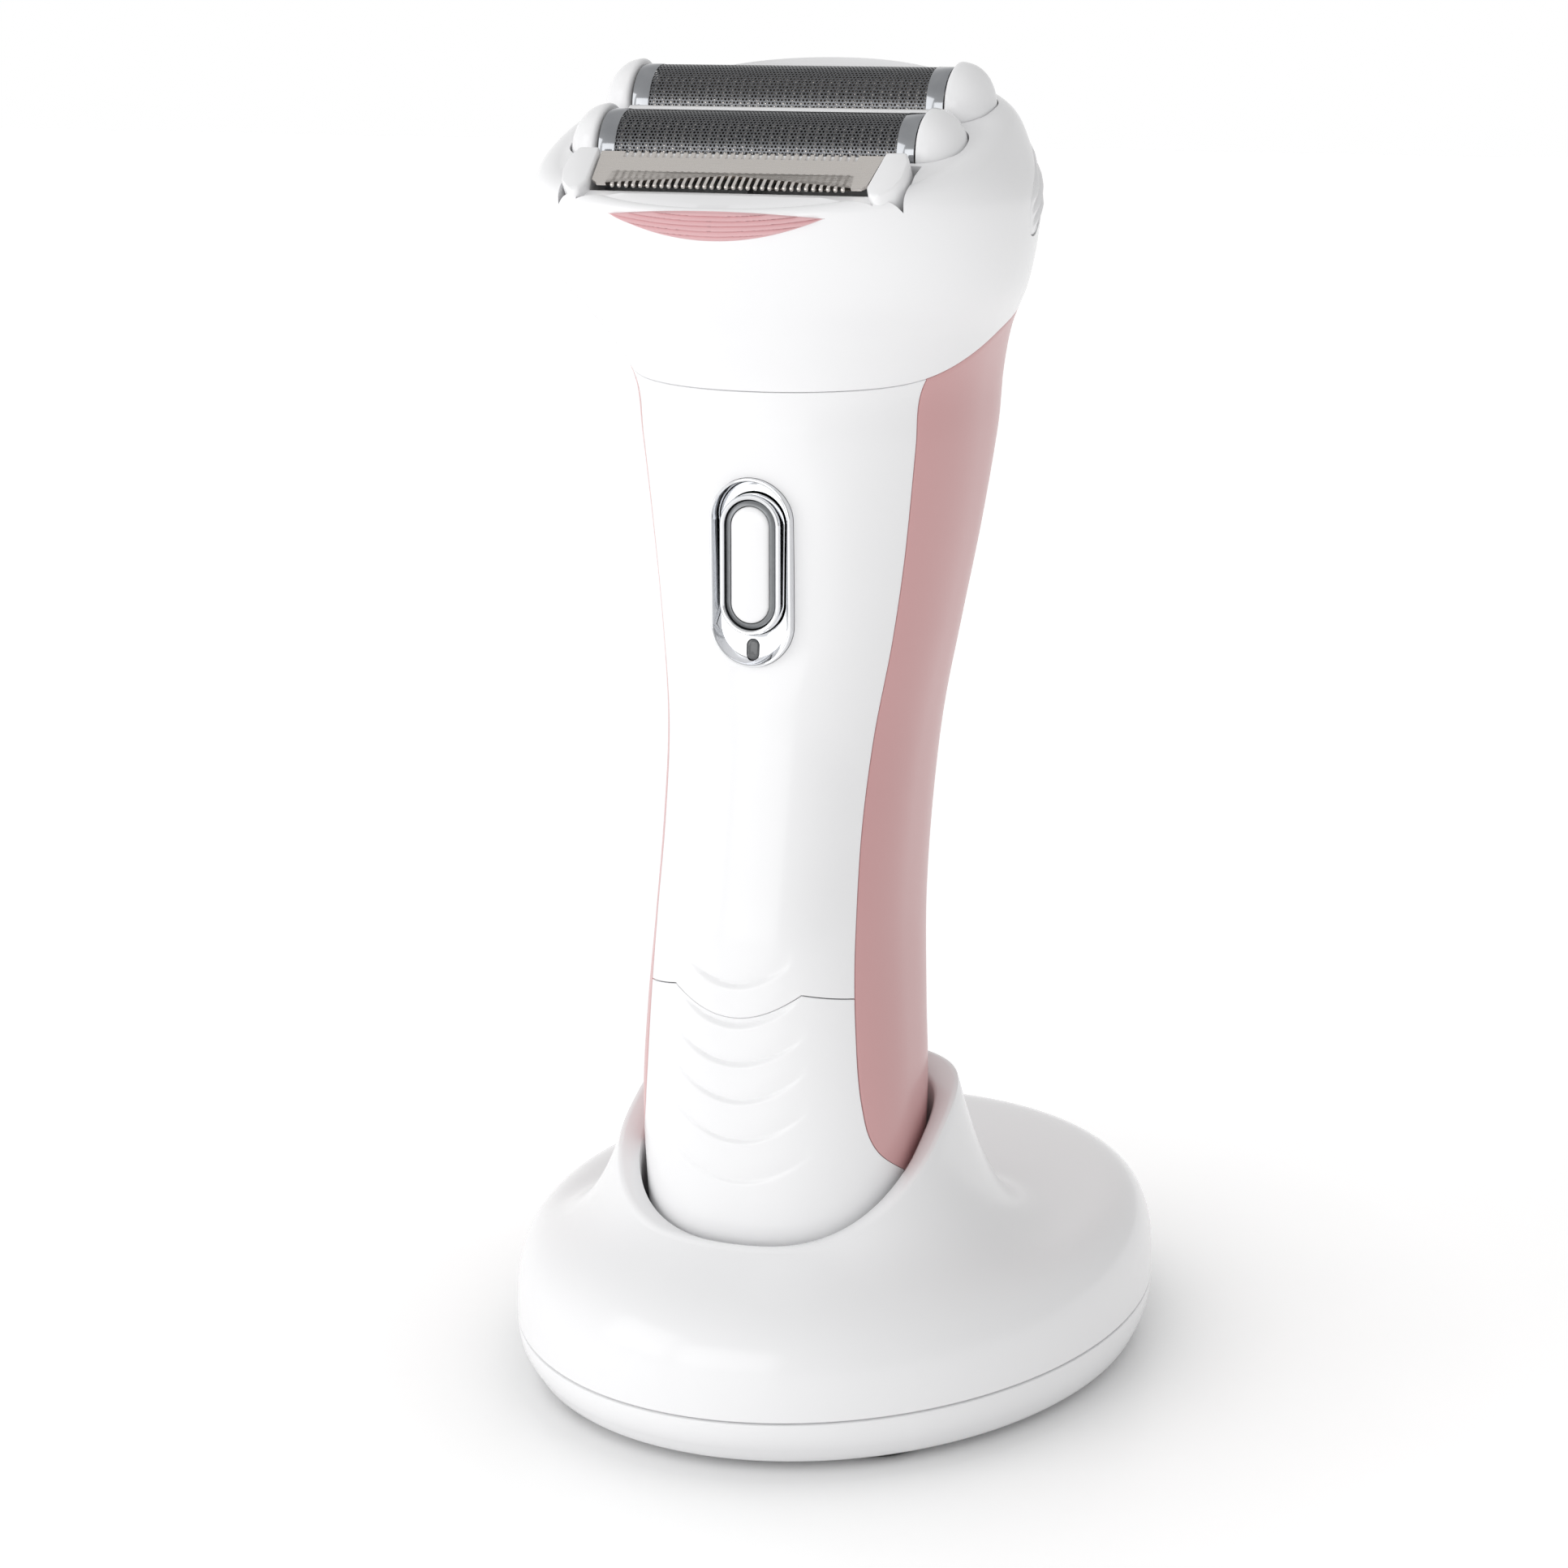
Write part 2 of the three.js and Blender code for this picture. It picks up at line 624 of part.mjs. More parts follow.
function endCap(side) {
  const geometry = new THREE.SphereGeometry(1, 12, 8);
  geometry.scale(FOIL_CAP_END - FOIL_HALF, FRAME_HALF_V, FOIL_R + 0.7);
  geometry.translate(FOIL_HALF + 0.3, 0, -FOIL_R);
  const block = box([FOIL_HALF + 0.3, FOIL_CAP_END - 0.3], [-4.6, 4.6], [-8.2, -4.5]);
  const cap = solid(geometry).add(block).intersect(box([FOIL_HALF + 0.3, 40], [-9, 9], [-8.2, 9]));
  return side > 0 ? cap : cap.mirror([1, 0, 0]);
}

function foilFrame() {
  const outer = box([-FRAME_HALF_X, FRAME_HALF_X], [-FRAME_HALF_V, FRAME_HALF_V], [-11, -5.35]);
  const slot = box([-19.6, 19.6], [-4.5, 4.5], [-12, 0]);
  return outer.subtract(slot).add(endCap(1)).add(endCap(-1));
}

function innerCutter() {
  let cutter = box([-18, 18], [-2.4, 2.4], [-9.6, -4.8]);
  for (let i = 0; i < CUTTER_BLADES; i++) {
    const x = -CUTTER_HALF + (2 * CUTTER_HALF * i) / (CUTTER_BLADES - 1);
    const shape = new THREE.Shape();
    shape.absarc(0, 0, FOIL_R - FOIL_SHEET - GAP, 0, Math.PI);
    const settings = { depth: 0.6, bevelEnabled: false, curveSegments: 4 };
    const geometry = new THREE.ExtrudeGeometry(shape, settings);
    geometry.applyMatrix4(new THREE.Matrix4().set(0, 0, 1, -0.3, 1, 0, 0, 0, 0, 1, 0, -FOIL_R, 0, 0, 0, 1));
    cutter = cutter.add(solid(geometry).translate([x, 0, 0]));
  }
  return cutter.subtract(box([-1.75, 1.75], [-1.8, 1.8], [-12, DRIVE_POST_TOP + FLOAT + 0.4]));
}

function dividerBar() {
  const profile = [[-0.25, -9], [0.25, -9], [0.25, -5], [0.85, -2.6], [0.5, -2.1]];
  const mirrored = profile.slice().reverse().map(([v, n]) => [-v, n]);
  return sweepX([...profile, ...mirrored.slice(0, -1)], FOIL_HALF);
}

// A toothed plate lying in the trimmer's frame; teeth point back and front.
function toothedPlate(half, back, front, rows, thickness) {
  const shape = new THREE.Shape();
  shape.moveTo(-half, front);
  for (let i = 0; i < rows.front; i++) {
    const pitch = (2 * rows.half) / rows.front;
    const x = -rows.half + pitch * i;
    shape.lineTo(x + 0.2 * pitch, front);
    shape.lineTo(x + 0.2 * pitch, front + rows.depth);
    shape.lineTo(x + 0.8 * pitch, front + rows.depth);
    shape.lineTo(x + 0.8 * pitch, front);
  }
  shape.lineTo(half, front);
  shape.lineTo(half, back);
  for (let i = rows.back - 1; i >= 0; i--) {
    const pitch = (2 * rows.half) / rows.back;
    const x = -rows.half + pitch * i;
    shape.lineTo(x + 0.7 * pitch, back);
    shape.lineTo(x + 0.7 * pitch, back - rows.depth * 0.7);
    shape.lineTo(x + 0.3 * pitch, back - rows.depth * 0.7);
    shape.lineTo(x + 0.3 * pitch, back);
  }
  shape.lineTo(-half, back);
  return solid(new THREE.ExtrudeGeometry(shape, { depth: thickness, bevelEnabled: false }));
}

function trimmerComb() {
  const teeth = { half: 15.3, front: 20, back: 18, depth: 1.7 };
  return toothedPlate(17.8, 3.1, -3.0, teeth, 0.45).translate([0, 0, -0.45]);
}

function trimmerBlade() {
  const teeth = { half: 14.8, front: 14, back: 12, depth: 1.3 };
  const plate = toothedPlate(15.4, 2.0, -2.6, teeth, 0.4).translate([0, 0, -1.15]);
  const lug = box([-4, 4], [-2, 2], [-3.4, -1.0]);
  return plate.add(lug).subtract(box([-1.5, 1.5], [-1.6, 1.6], [-5, -1.9]));
}

function trimmerFrame() {
  const base = box([-21.2, 21.2], [-4.2, 4.1], [-5.6, -0.85]);
  const cheeks = [-1, 1].map((side) => {
    const x = side > 0 ? [18.2, 21.2] : [-21.2, -18.2];
    return box(x, [-4.2, 3.6], [-1.2, 0.7]);
  });
  const slot = box([-17.2, 17.2], [-3.1, 2.6], [-9, 9]);
  return base.add(cheeks[0]).add(cheeks[1]).subtract(slot);
}

// ---- Stand ----

const standEdge = (angle) => new THREE.Vector3(STAND_RX * Math.cos(angle), STAND_RY * Math.sin(angle), 0);

// The lip's outer edge in a given direction, found on the shaver's section where the lip's height lies.
function lipPoint(angle, reach) {
  let z = 34;
  let point = new THREE.Vector3();
  for (let i = 0; i < 12; i++) {
    point = bodyPoint(z, angle, SOCKET_CLEARANCE + reach);
    z = (z + lipHeight(point.y)) / 2;
  }
  point.z = z;
  return point;
}

// Height of the dome and its collar, by distance from the stand's edge and from the lip.
function domeHeight(fromEdge, fromLip, lipZ) {
  const rise = Math.min(fromEdge / SHOULDER_REACH, 1);
  const shoulder = (1 - (1 - rise) ** 3) ** (1 / 3);
  const dome = STAND_SEAM_Z + (DOME_Z - STAND_SEAM_Z) * shoulder;
  const collar = Math.max(0, 1 - fromLip / COLLAR_REACH) ** 2.4;
  return dome + Math.max(0, lipZ - dome) * collar;
}

function shellForm(inset, bottom) {
  const rings = [];
  const angles = Array.from({ length: SHELL_POINTS }, (_, i) => (2 * Math.PI * i) / SHELL_POINTS);
  const edges = angles.map((a) => standEdge(a).multiplyScalar(1 - inset / 48));
  const lips = angles.map((a) => lipPoint(a, LIP_WIDTH - inset * 0.2));
  rings.push(edges.map((p) => new THREE.Vector3(p.x, p.y, bottom)));
  for (let level = 1; level <= SHELL_LEVELS; level++) {
    const u = (level / SHELL_LEVELS) ** 1.5;
    rings.push(
      edges.map((edge, i) => {
        const flatLip = lips[i].clone().setZ(0);
        const at = edge.clone().lerp(flatLip, u);
        const z = domeHeight(at.distanceTo(edge), at.distanceTo(flatLip), lips[i].z);
        return at.setZ(z - inset);
      }),
    );
  }
  const inner = angles.map((a) => lipPoint(a, 0).add(new THREE.Vector3(0, 0, -LIP_BEVEL - inset)));
  rings.push(inner);
  return loft(rings);
}

// The space the shaver's foot drops into, wider than the shaver by grow.
function socketForm(grow, floor) {
  const levels = heights(floor, 62, 10);
  return loft(levels.map((z) => bodyRing(z, grow)));
}

function standShell() {
  const outer = shellForm(0, STAND_SEAM_Z + GAP);
  const hollow = shellForm(STAND_WALL, STAND_SEAM_Z - 1);
  const wellWall = socketForm(SOCKET_CLEARANCE + STAND_WALL, SOCKET_FLOOR_Z - STAND_WALL);
  let shell = outer.subtract(hollow.subtract(wellWall));
  for (const [x, y] of BOSS_PLACES) {
    shell = shell.add(post(BOSS_R, [STAND_SEAM_Z + GAP, 20], [x, y], 14).intersect(outer));
    shell = shell.subtract(post(SCREW_HOLE_R, [0, 16], [x, y], 14));
  }
  shell = shell.subtract(socketForm(SOCKET_CLEARANCE, SOCKET_FLOOR_Z));
  for (const side of [-1, 1]) {
    shell = shell.subtract(post(PIN_HOLE_R, [5, 20], [side * CONTACT_X, CONTACT_Y], 14));
  }
  return shell.subtract(alongY(INLET_R + GAP, [45, 60], 16));
}

function alongY(radius, [near, far], sides) {
  const geometry = new THREE.CylinderGeometry(radius, radius, far - near, sides);
  geometry.translate(0, (near + far) / 2, INLET_Z);
  return solid(geometry);
}

function powerInlet() {
  const block = box([-4.6, 4.6], [36, 46.6], [INLET_Z - INLET_R, INLET_Z + INLET_R]);
  const nose = alongY(INLET_R, [46, 52.6], 20);
  const bore = alongY(INLET_BORE_R, [40, 60], 16);
  return block.add(nose).subtract(bore).add(alongY(INLET_PIN_R, [39.5, 51.5], 10));
}

function basePlate() {
  const ring = (rx, ry, z) =>
    Array.from({ length: SHELL_POINTS }, (_, i) => {
      const a = (2 * Math.PI * i) / SHELL_POINTS;
      return new THREE.Vector3(rx * Math.cos(a), ry * Math.sin(a), z);
    });
  const outer = loft([
    ring(STAND_FOOT_RX - 1.4, STAND_FOOT_RY - 1.6, PLATE_BOTTOM_Z),
    ring(STAND_FOOT_RX, STAND_FOOT_RY, PLATE_BOTTOM_Z + 1.2),
    ring(STAND_RX - 0.25, STAND_RY - 0.6, 4.6),
    ring(STAND_RX, STAND_RY, STAND_SEAM_Z),
  ]);
  const hollow = loft([
    ring(STAND_FOOT_RX - STAND_WALL - 1, STAND_FOOT_RY - STAND_WALL - 1, PLATE_BOTTOM_Z + 2),
    ring(STAND_RX - STAND_WALL, STAND_RY - STAND_WALL, STAND_SEAM_Z + 2),
  ]);
  let plate = outer.subtract(hollow);
  for (const [x, y] of BOSS_PLACES) {
    plate = plate.add(post(BOSS_R, [PLATE_BOTTOM_Z + 1, STAND_SEAM_Z - 0.1], [x, y], 14));
    const headRecess = post(2.8, [0, 3.2], [x, y], 14);
    plate = plate.subtract(post(SCREW_HOLE_R, [0, 9], [x, y], 14)).subtract(headRecess);
  }
  for (const [x, y] of PAD_PLACES) {
    plate = plate.subtract(post(FOOT_PAD_R + GAP, [0, PLATE_BOTTOM_Z + 0.9], [x, y], 14));
  }
  return plate;
}

function standScrew([x, y]) {
  return post(2.4, [1.2, 2.9], [x, y], 14).add(post(1.15, [2.8, 15], [x, y], 12));
}

function standBoard() {
  return box([-14, 14], [-31.5, -11], BOARD_Z);
}

function contactPin(side) {
  const at = [side * CONTACT_X, CONTACT_Y];
  const bottom = BOARD_Z[1] + GAP;
  return post(PIN_R, [bottom, FOOT_Z - 0.3], at, 14).add(post(2, [bottom, bottom + 1.35], at, 14));
}

// ---- Assembly ----

const shaver = new THREE.Group();
const part = new THREE.Group();

function add(group, name, body, material) {
  group.add(meshOf(name, body, material));
}

add(part, "stand_shell", standShell(), whiteAbs);
add(part, "stand_base_plate", basePlate(), whiteAbs);
PAD_PLACES.forEach((place, i) => {
  add(part, `stand_foot_${i + 1}`, post(FOOT_PAD_R, [0, PLATE_BOTTOM_Z + 0.6], place, 20), darkRubber);
});
BOSS_PLACES.forEach((place, i) => add(part, `stand_screw_${i + 1}`, standScrew(place), steel));
add(part, "stand_charge_board", standBoard(), boardGreen);
add(part, "stand_contact_left", contactPin(-1), copper);
add(part, "stand_contact_right", contactPin(1), copper);
add(part, "stand_power_inlet", powerInlet(), greyAbs);

add(shaver, "front_cover", frontCover(), whiteAbs);
add(shaver, "lower_cover", lowerCover(), whiteAbs);
add(shaver, "rear_housing", rearHousing(), pinkAbs);
add(shaver, "neck_plate", neckPlate(), greyAbs);
add(shaver, "inner_chassis", chassis(), greyAbs);
add(shaver, "battery_cell", batteryCell(), batteryWrap);
add(shaver, "drive_motor", motorCan(), steel);
add(shaver, "shaft_seal", shaftSeal(), darkRubber);
add(shaver, "bridge_guide_rod", guideBore(GUIDE_R, 11), steel);
add(shaver, "control_board", box([-8.5, 8.5], [-27.6, -26.4], [68, 121]), boardGreen);
add(shaver, "power_switch", box([-3, 3], [-28.6, -27.95], [106, 113]), greyAbs);
add(shaver, "charge_lamp", box([-1, 1], [-29.4, -27.95], [98.2, 100.2]), lens);
add(shaver, "charge_lens", chargeLens(), lens);
add(shaver, "button_bezel", buttonBezel(), chrome);
add(shaver, "charge_contact_left", chargeContact(-1), copper);
add(shaver, "charge_contact_right", chargeContact(1), copper);

add(shaver, "button_pad", buttonPad(), whiteAbs);
add(shaver, "button_trim", buttonLayer(TRIM_INSET, TRIM_INSET + TRIM_WIDTH, 0.1), greyAbs);
add(shaver, "button_ring", buttonLayer(0, RING_WIDTH, 0.1), chrome);

add(shaver, "motor_shaft", motorShaft(), steel);
add(shaver, "eccentric", eccentric(), greyAbs);
add(shaver, "drive_bridge", driveBridge(), greyAbs);

add(shaver, "head_housing", headHousing(), whiteAbs);
add(shaver, "lotion_strip", lotionStrip(), pinkAbs);
add(shaver, "foil_divider", inFoilFrame(dividerBar()), whiteAbs);
add(shaver, "release_button_left", releaseButton(-1), whiteAbs);
add(shaver, "release_button_right", releaseButton(1), whiteAbs);

for (const [place, side] of [["front", -1], ["rear", 1]]) {
  const here = (body) => inFoilFrame(body.translate([0, side * FOIL_PITCH, 0]));
  add(shaver, `${place}_foil_frame`, here(foilFrame()), whiteAbs);
  add(shaver, `${place}_foil`, here(arch(FOIL_R, FOIL_R - FOIL_SHEET, FOIL_HALF)), foilSteel);
  add(shaver, `${place}_cutter`, here(innerCutter()), steel);
}
add(shaver, "trimmer_frame", inTrimmerFrame(trimmerFrame()), whiteAbs);
add(shaver, "trimmer_comb", inTrimmerFrame(trimmerComb()), steel);
add(shaver, "trimmer_blade", inTrimmerFrame(trimmerBlade()), steel);

part.add(shaver);

export default part;
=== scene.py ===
"""The looks of a ladies' two-foil shaver standing in its oval charging stand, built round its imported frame."""
import math

import bpy
from mathutils import Matrix, Vector


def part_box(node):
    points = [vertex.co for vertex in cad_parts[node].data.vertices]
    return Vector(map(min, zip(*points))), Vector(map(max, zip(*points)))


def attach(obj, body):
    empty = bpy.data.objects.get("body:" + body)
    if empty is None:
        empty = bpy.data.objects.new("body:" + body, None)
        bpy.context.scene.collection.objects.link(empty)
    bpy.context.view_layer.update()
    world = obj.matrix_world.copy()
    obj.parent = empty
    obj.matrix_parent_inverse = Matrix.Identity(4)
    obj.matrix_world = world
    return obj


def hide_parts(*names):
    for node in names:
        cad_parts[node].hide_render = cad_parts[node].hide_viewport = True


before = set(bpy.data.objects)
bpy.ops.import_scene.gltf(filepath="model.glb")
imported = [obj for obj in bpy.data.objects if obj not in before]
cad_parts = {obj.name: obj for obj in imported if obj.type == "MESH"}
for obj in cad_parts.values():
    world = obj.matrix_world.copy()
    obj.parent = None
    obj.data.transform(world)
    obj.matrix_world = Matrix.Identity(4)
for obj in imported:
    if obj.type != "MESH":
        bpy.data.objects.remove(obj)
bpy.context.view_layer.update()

# ---- The shaver's outer form ----
# The handle, its covers and the head are moulded to one flowing form, and the stand's collar is fitted round
# it. It is set out as sections: height, half width, y of the widest point, front y, back y and the squareness
# of the rear half, all in millimetres. Heights between the sections follow a smooth curve.

MM = 0.001
BODY_STATIONS = (
    (12, 16.2, -22.4, -36.2, -7.8, 3.2),
    (26, 17.0, -22.3, -38.0, -6.6, 3.2),
    (40, 17.5, -22.2, -39.0, -5.7, 3.2),
    (52, 16.8, -21.6, -39.5, -4.2, 3.2),
    (64, 15.9, -20.2, -39.0, -1.4, 3.2),
    (76, 15.8, -17.6, -36.3, 1.0, 3.2),
    (88, 16.4, -14.2, -33.9, 3.0, 3.2),
    (100, 18.1, -10.8, -33.1, 4.4, 3.2),
    (112, 19.9, -8.6, -33.2, 6.8, 3.2),
    (124, 21.4, -8.4, -33.8, 10.2, 3.2),
    (131, 22.2, -9.5, -34.1, 12.2, 2.9),
    (137, 24.6, -13.0, -37.8, 11.4, 2.5),
    (143, 28.6, -17.9, -42.0, 8.8, 2.2),
    (149, 30.5, -20.2, -45.2, 6.8, 2.2),
    (155, 30.9, -20.6, -46.4, 5.8, 2.2),
    (160, 28.9, -18.4, -45.0, 5.3, 2.2),
    (164, 26.3, -16.8, -42.0, 4.2, 2.2),
    (168, 21.0, -17.2, -37.0, 0.0, 2.2),
    (172, 14.0, -17.0, -32.0, -5.0, 2.2),
)
FRONT_SQUARENESS = 2.2


def smooth_curve(points):
    """A smooth curve through (t, value) points, level beyond its ends."""
    last = len(points) - 1

    def slope(i):
        before, after = points[max(i - 1, 0)], points[min(i + 1, last)]
        return (after[1] - before[1]) / (after[0] - before[0])

    slopes = [slope(i) for i in range(last + 1)]

    def value(t):
        if t <= points[0][0]:
            return points[0][1]
        if t >= points[last][0]:
            return points[last][1]
        i = next(k for k in range(last) if points[k + 1][0] > t)
        span = points[i + 1][0] - points[i][0]
        u = (t - points[i][0]) / span
        start = points[i][1] * (1 + 2 * u) * (1 - u) ** 2 + slopes[i] * span * u * (1 - u) ** 2
        end = points[i + 1][1] * u * u * (3 - 2 * u) - slopes[i + 1] * span * u * u * (1 - u)
        return start + end

    return value


body_half, body_middle, body_front, body_back, body_squareness = (
    smooth_curve([(s[0], s[column]) for s in BODY_STATIONS]) for column in range(1, 6)
)


def body_point(z, angle, grow=0.0):
    """A point of the shaver's section at height z, moved out by grow; angle 0 points along +X."""
    c, s = math.cos(angle), math.sin(angle)
    power = body_squareness(z) if s > 0 else FRONT_SQUARENESS
    depth = body_back(z) - body_middle(z) if s > 0 else body_middle(z) - body_front(z)
    reach = (abs(c) ** power + abs(s) ** power) ** (-1 / power)
    return Vector(((body_half(z) + grow) * reach * c, body_middle(z) + (depth + grow) * reach * s, z))


def body_angle(z, y):
    """The angle at which the right half of the section at height z passes y."""
    rear = y > body_middle(z)
    power = body_squareness(z) if rear else FRONT_SQUARENESS
    depth = body_back(z) - body_middle(z) if rear else body_middle(z) - body_front(z)
    share = min(abs(y - body_middle(z)) / depth, 1)
    angle = math.atan2(share, (1 - share ** power) ** (1 / power))
    return angle if rear else -angle


def side_x(y, z, grow=0.0):
    """How far out the right side of the form lies at y and z."""
    rear = y > body_middle(z)
    power = body_squareness(z) if rear else FRONT_SQUARENESS
    depth = body_back(z) - body_middle(z) if rear else body_middle(z) - body_front(z)
    share = min(abs(y - body_middle(z)) / (depth + grow), 1)
    return (body_half(z) + grow) * (1 - share ** power) ** (1 / power)


def front_y(x, z, grow=0.0):
    """How far forward the form lies at x and z."""
    share = min(abs(x) / (body_half(z) + grow), 1)
    depth = body_middle(z) - body_front(z) + grow
    return body_middle(z) - depth * (1 - share ** FRONT_SQUARENESS) ** (1 / FRONT_SQUARENESS)


# ---- Stand shell ----
# The stand's upper moulding is one piece of polished white ABS: a low oval dome that rises into a collar
# round the shaver's foot. Its thick rounded lip is bevelled towards the socket, which is moulded in one with
# the dome.

STAND_WALL = 2.2
STAND_LIP_WIDTH = 3.0
STAND_LIP_BEVEL = 0.9
STAND_LIP_HEIGHT = smooth_curve([(-43, 24.8), (-38, 26.2), (-26, 33.6), (-12, 39.8), (-2, 41.6)])
SOCKET_CLEARANCE = 0.7
SOCKET_FLOOR = 11.6
DOME_HEIGHT = 19.8
SHOULDER_REACH = 13.0
COLLAR_REACH = 19.0
COLLAR_SWEEP = 2.4
STAND_COLUMNS = 224
STAND_ROWS = 64

stand_low, stand_high = (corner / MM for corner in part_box("stand_shell"))
STAND_HALF_X = stand_high.x
STAND_HALF_Y = stand_high.y
STAND_SEAM = stand_low.z


def linear(hex_colour):
    """An sRGB hex colour as linear RGBA."""
    channels = [int(hex_colour[i:i + 2], 16) / 255 for i in (1, 3, 5)]
    return [c / 12.92 if c <= 0.04045 else ((c + 0.055) / 1.055) ** 2.4 for c in channels] + [1.0]


def add_node(tree, kind, settings=(), inputs=(), links=()):
    """Adds one node: its properties, its input values, and links into it as (input, node, output)."""
    node = tree.nodes.new(kind)
    for name, value in dict(settings).items():
        setattr(node, name, value)
    for name, value in dict(inputs).items():
        node.inputs[name].default_value = value
    for name, source, output in links:
        tree.links.new(source.outputs[output], node.inputs[name])
    return node


def moulded_plastic(name, colour, shade, roughness, texture_mm, relief_mm, coat=0.0, subsurface=0.0):
    """A moulded plastic: a faint drift of colour and gloss, and the fine orange peel left by the tool."""
    material = bpy.data.materials.new(name)
    material.use_nodes = True
    tree = material.node_tree
    shader = tree.nodes["Principled BSDF"]
    place = add_node(tree, "ShaderNodeTexCoord")
    drift = add_node(tree, "ShaderNodeTexNoise", inputs={"Scale": 40.0, "Detail": 2.0},
                     links=[("Vector", place, "Object")])
    tint = add_node(tree, "ShaderNodeMix", {"data_type": "RGBA"}, {6: linear(colour), 7: linear(shade)},
                    [(0, drift, "Fac")])
    peel = add_node(tree, "ShaderNodeTexNoise", inputs={"Scale": 1 / (texture_mm * MM), "Detail": 3.0},
                    links=[("Vector", place, "Object")])
    gloss = add_node(tree, "ShaderNodeMapRange", inputs={"To Min": roughness * 0.92, "To Max": roughness * 1.1},
                     links=[("Value", peel, "Fac")])
    relief = add_node(tree, "ShaderNodeBump", inputs={"Strength": 0.35, "Distance": relief_mm * MM},
                      links=[("Height", peel, "Fac")])
    tree.links.new(tint.outputs[2], shader.inputs["Base Color"])
    tree.links.new(gloss.outputs["Result"], shader.inputs["Roughness"])
    tree.links.new(relief.outputs["Normal"], shader.inputs["Normal"])
    shader.inputs["IOR"].default_value = 1.53
    shader.inputs["Coat Weight"].default_value = coat
    shader.inputs["Coat Roughness"].default_value = 0.05
    shader.inputs["Subsurface Weight"].default_value = subsurface
    shader.inputs["Subsurface Scale"].default_value = 1.2 * MM
    return material


# Polished ABS is bright and opaque, with a clear, slightly soft reflection.
polished_white_abs = moulded_plastic("polished white ABS", "#F5F5F6", "#F2F2F3", 0.18, 1.2, 0.002)


def grid_faces(rows, columns, closed=True):
    """Quads between rows of equally many points; the columns close on themselves if asked."""
    faces = []
    for row in range(rows - 1):
        for i in range(columns if closed else columns - 1):
            here, there = row * columns + i, row * columns + (i + 1) % columns
            faces.append((here, there, there + columns, here + columns))
    return faces


def shade_edges(piece, degrees):
    """Smooth shading, kept crisp across edges that turn by more than the angle."""
    piece.data.polygons.foreach_set("use_smooth", [True] * len(piece.data.polygons))
    piece.data.set_sharp_from_angle(angle=math.radians(degrees))
    return piece


def make_piece(name, points, faces, material, crisp=40):
    """A mesh piece from points in millimetres, with its material."""
    mesh = bpy.data.meshes.new(name)
    mesh.from_pydata([Vector(p) * MM for p in points], [], faces)
    mesh.materials.append(material)
    mesh.update()
    piece = bpy.data.objects.new(name, mesh)
    bpy.context.scene.collection.objects.link(piece)
    return shade_edges(piece, crisp)


def skin(name, rows, material, closed=True, cap_first=False, cap_last=False, crisp=40):
    """A surface through rows of points, with its first or last row closed by a fan."""
    columns = len(rows[0])
    points = [p for row in rows for p in row]
    faces = grid_faces(len(rows), columns, closed)
    if cap_first:
        points.append(sum(rows[0], Vector()) / columns)
        faces += [((i + 1) % columns, i, len(points) - 1) for i in range(columns)]
    if cap_last:
        points.append(sum(rows[-1], Vector()) / columns)
        top = (len(rows) - 1) * columns
        faces += [(top + i, top + (i + 1) % columns, len(points) - 1) for i in range(columns)]
    return make_piece(name, points, faces, material, crisp)


def settle(piece, crisp=40):
    """Turns a piece and its modifiers into a plain mesh."""
    shape = bpy.data.meshes.new_from_object(piece.evaluated_get(bpy.context.evaluated_depsgraph_get()))
    before = piece.data
    piece.modifiers.clear()
    piece.data = shape
    bpy.data.meshes.remove(before)
    shape.name = piece.name
    return shade_edges(piece, crisp)


def cut_away(piece, cutters, crisp=40):
    """Cuts closed bodies out of a closed piece, and removes them."""
    for cutter in cutters:
        cut = piece.modifiers.new("cut", "BOOLEAN")
        cut.operation = "DIFFERENCE"
        cut.solver = "EXACT"
        cut.object = cutter
    settle(piece, crisp)
    for cutter in cutters:
        bpy.data.objects.remove(cutter)
    return piece


def ring(radius, at, count, axis="Z"):
    """A circle of points round an axis through at, anticlockwise seen from the axis's far end."""
    turns = [2 * math.pi * i / count for i in range(count)]
    if axis == "Z":
        return [Vector((at[0] + radius * math.cos(t), at[1] + radius * math.sin(t), at[2])) for t in turns]
    return [Vector((at[0] - radius * math.cos(t), at[1], at[2] + radius * math.sin(t))) for t in turns]


def turned(name, profile, centre, material, count=48, axis="Z", crisp=40):
    """A turned body: (radius, distance along the axis) pairs from its start to its far end, capped at both."""
    rows = []
    for radius, along in profile:
        at = list(centre)
        at["XYZ".index(axis)] += along
        rows.append(ring(radius, at, count, axis))
    return skin(name, rows, material, cap_first=True, cap_last=True, crisp=crisp)


def lip_point(angle, reach):
    """A point of the collar's lip, which follows the shaver's section and the lip's height."""
    z = 34.0
    for _ in range(14):
        point = body_point(z, angle, SOCKET_CLEARANCE + reach)
        z = (z + STAND_LIP_HEIGHT(point.y)) / 2
    point.z = z
    return point


def dome_height(from_edge, from_lip, lip_z):
    """Height of the dome and collar, from the distances to the stand's edge and to the lip."""
    rise = min(from_edge / SHOULDER_REACH, 1)
    shoulder = (1 - (1 - rise) ** 3) ** (1 / 3)
    dome = STAND_SEAM + (DOME_HEIGHT - STAND_SEAM) * shoulder
    collar = max(0, 1 - from_lip / COLLAR_REACH) ** COLLAR_SWEEP
    return dome + max(0, lip_z - dome) * collar


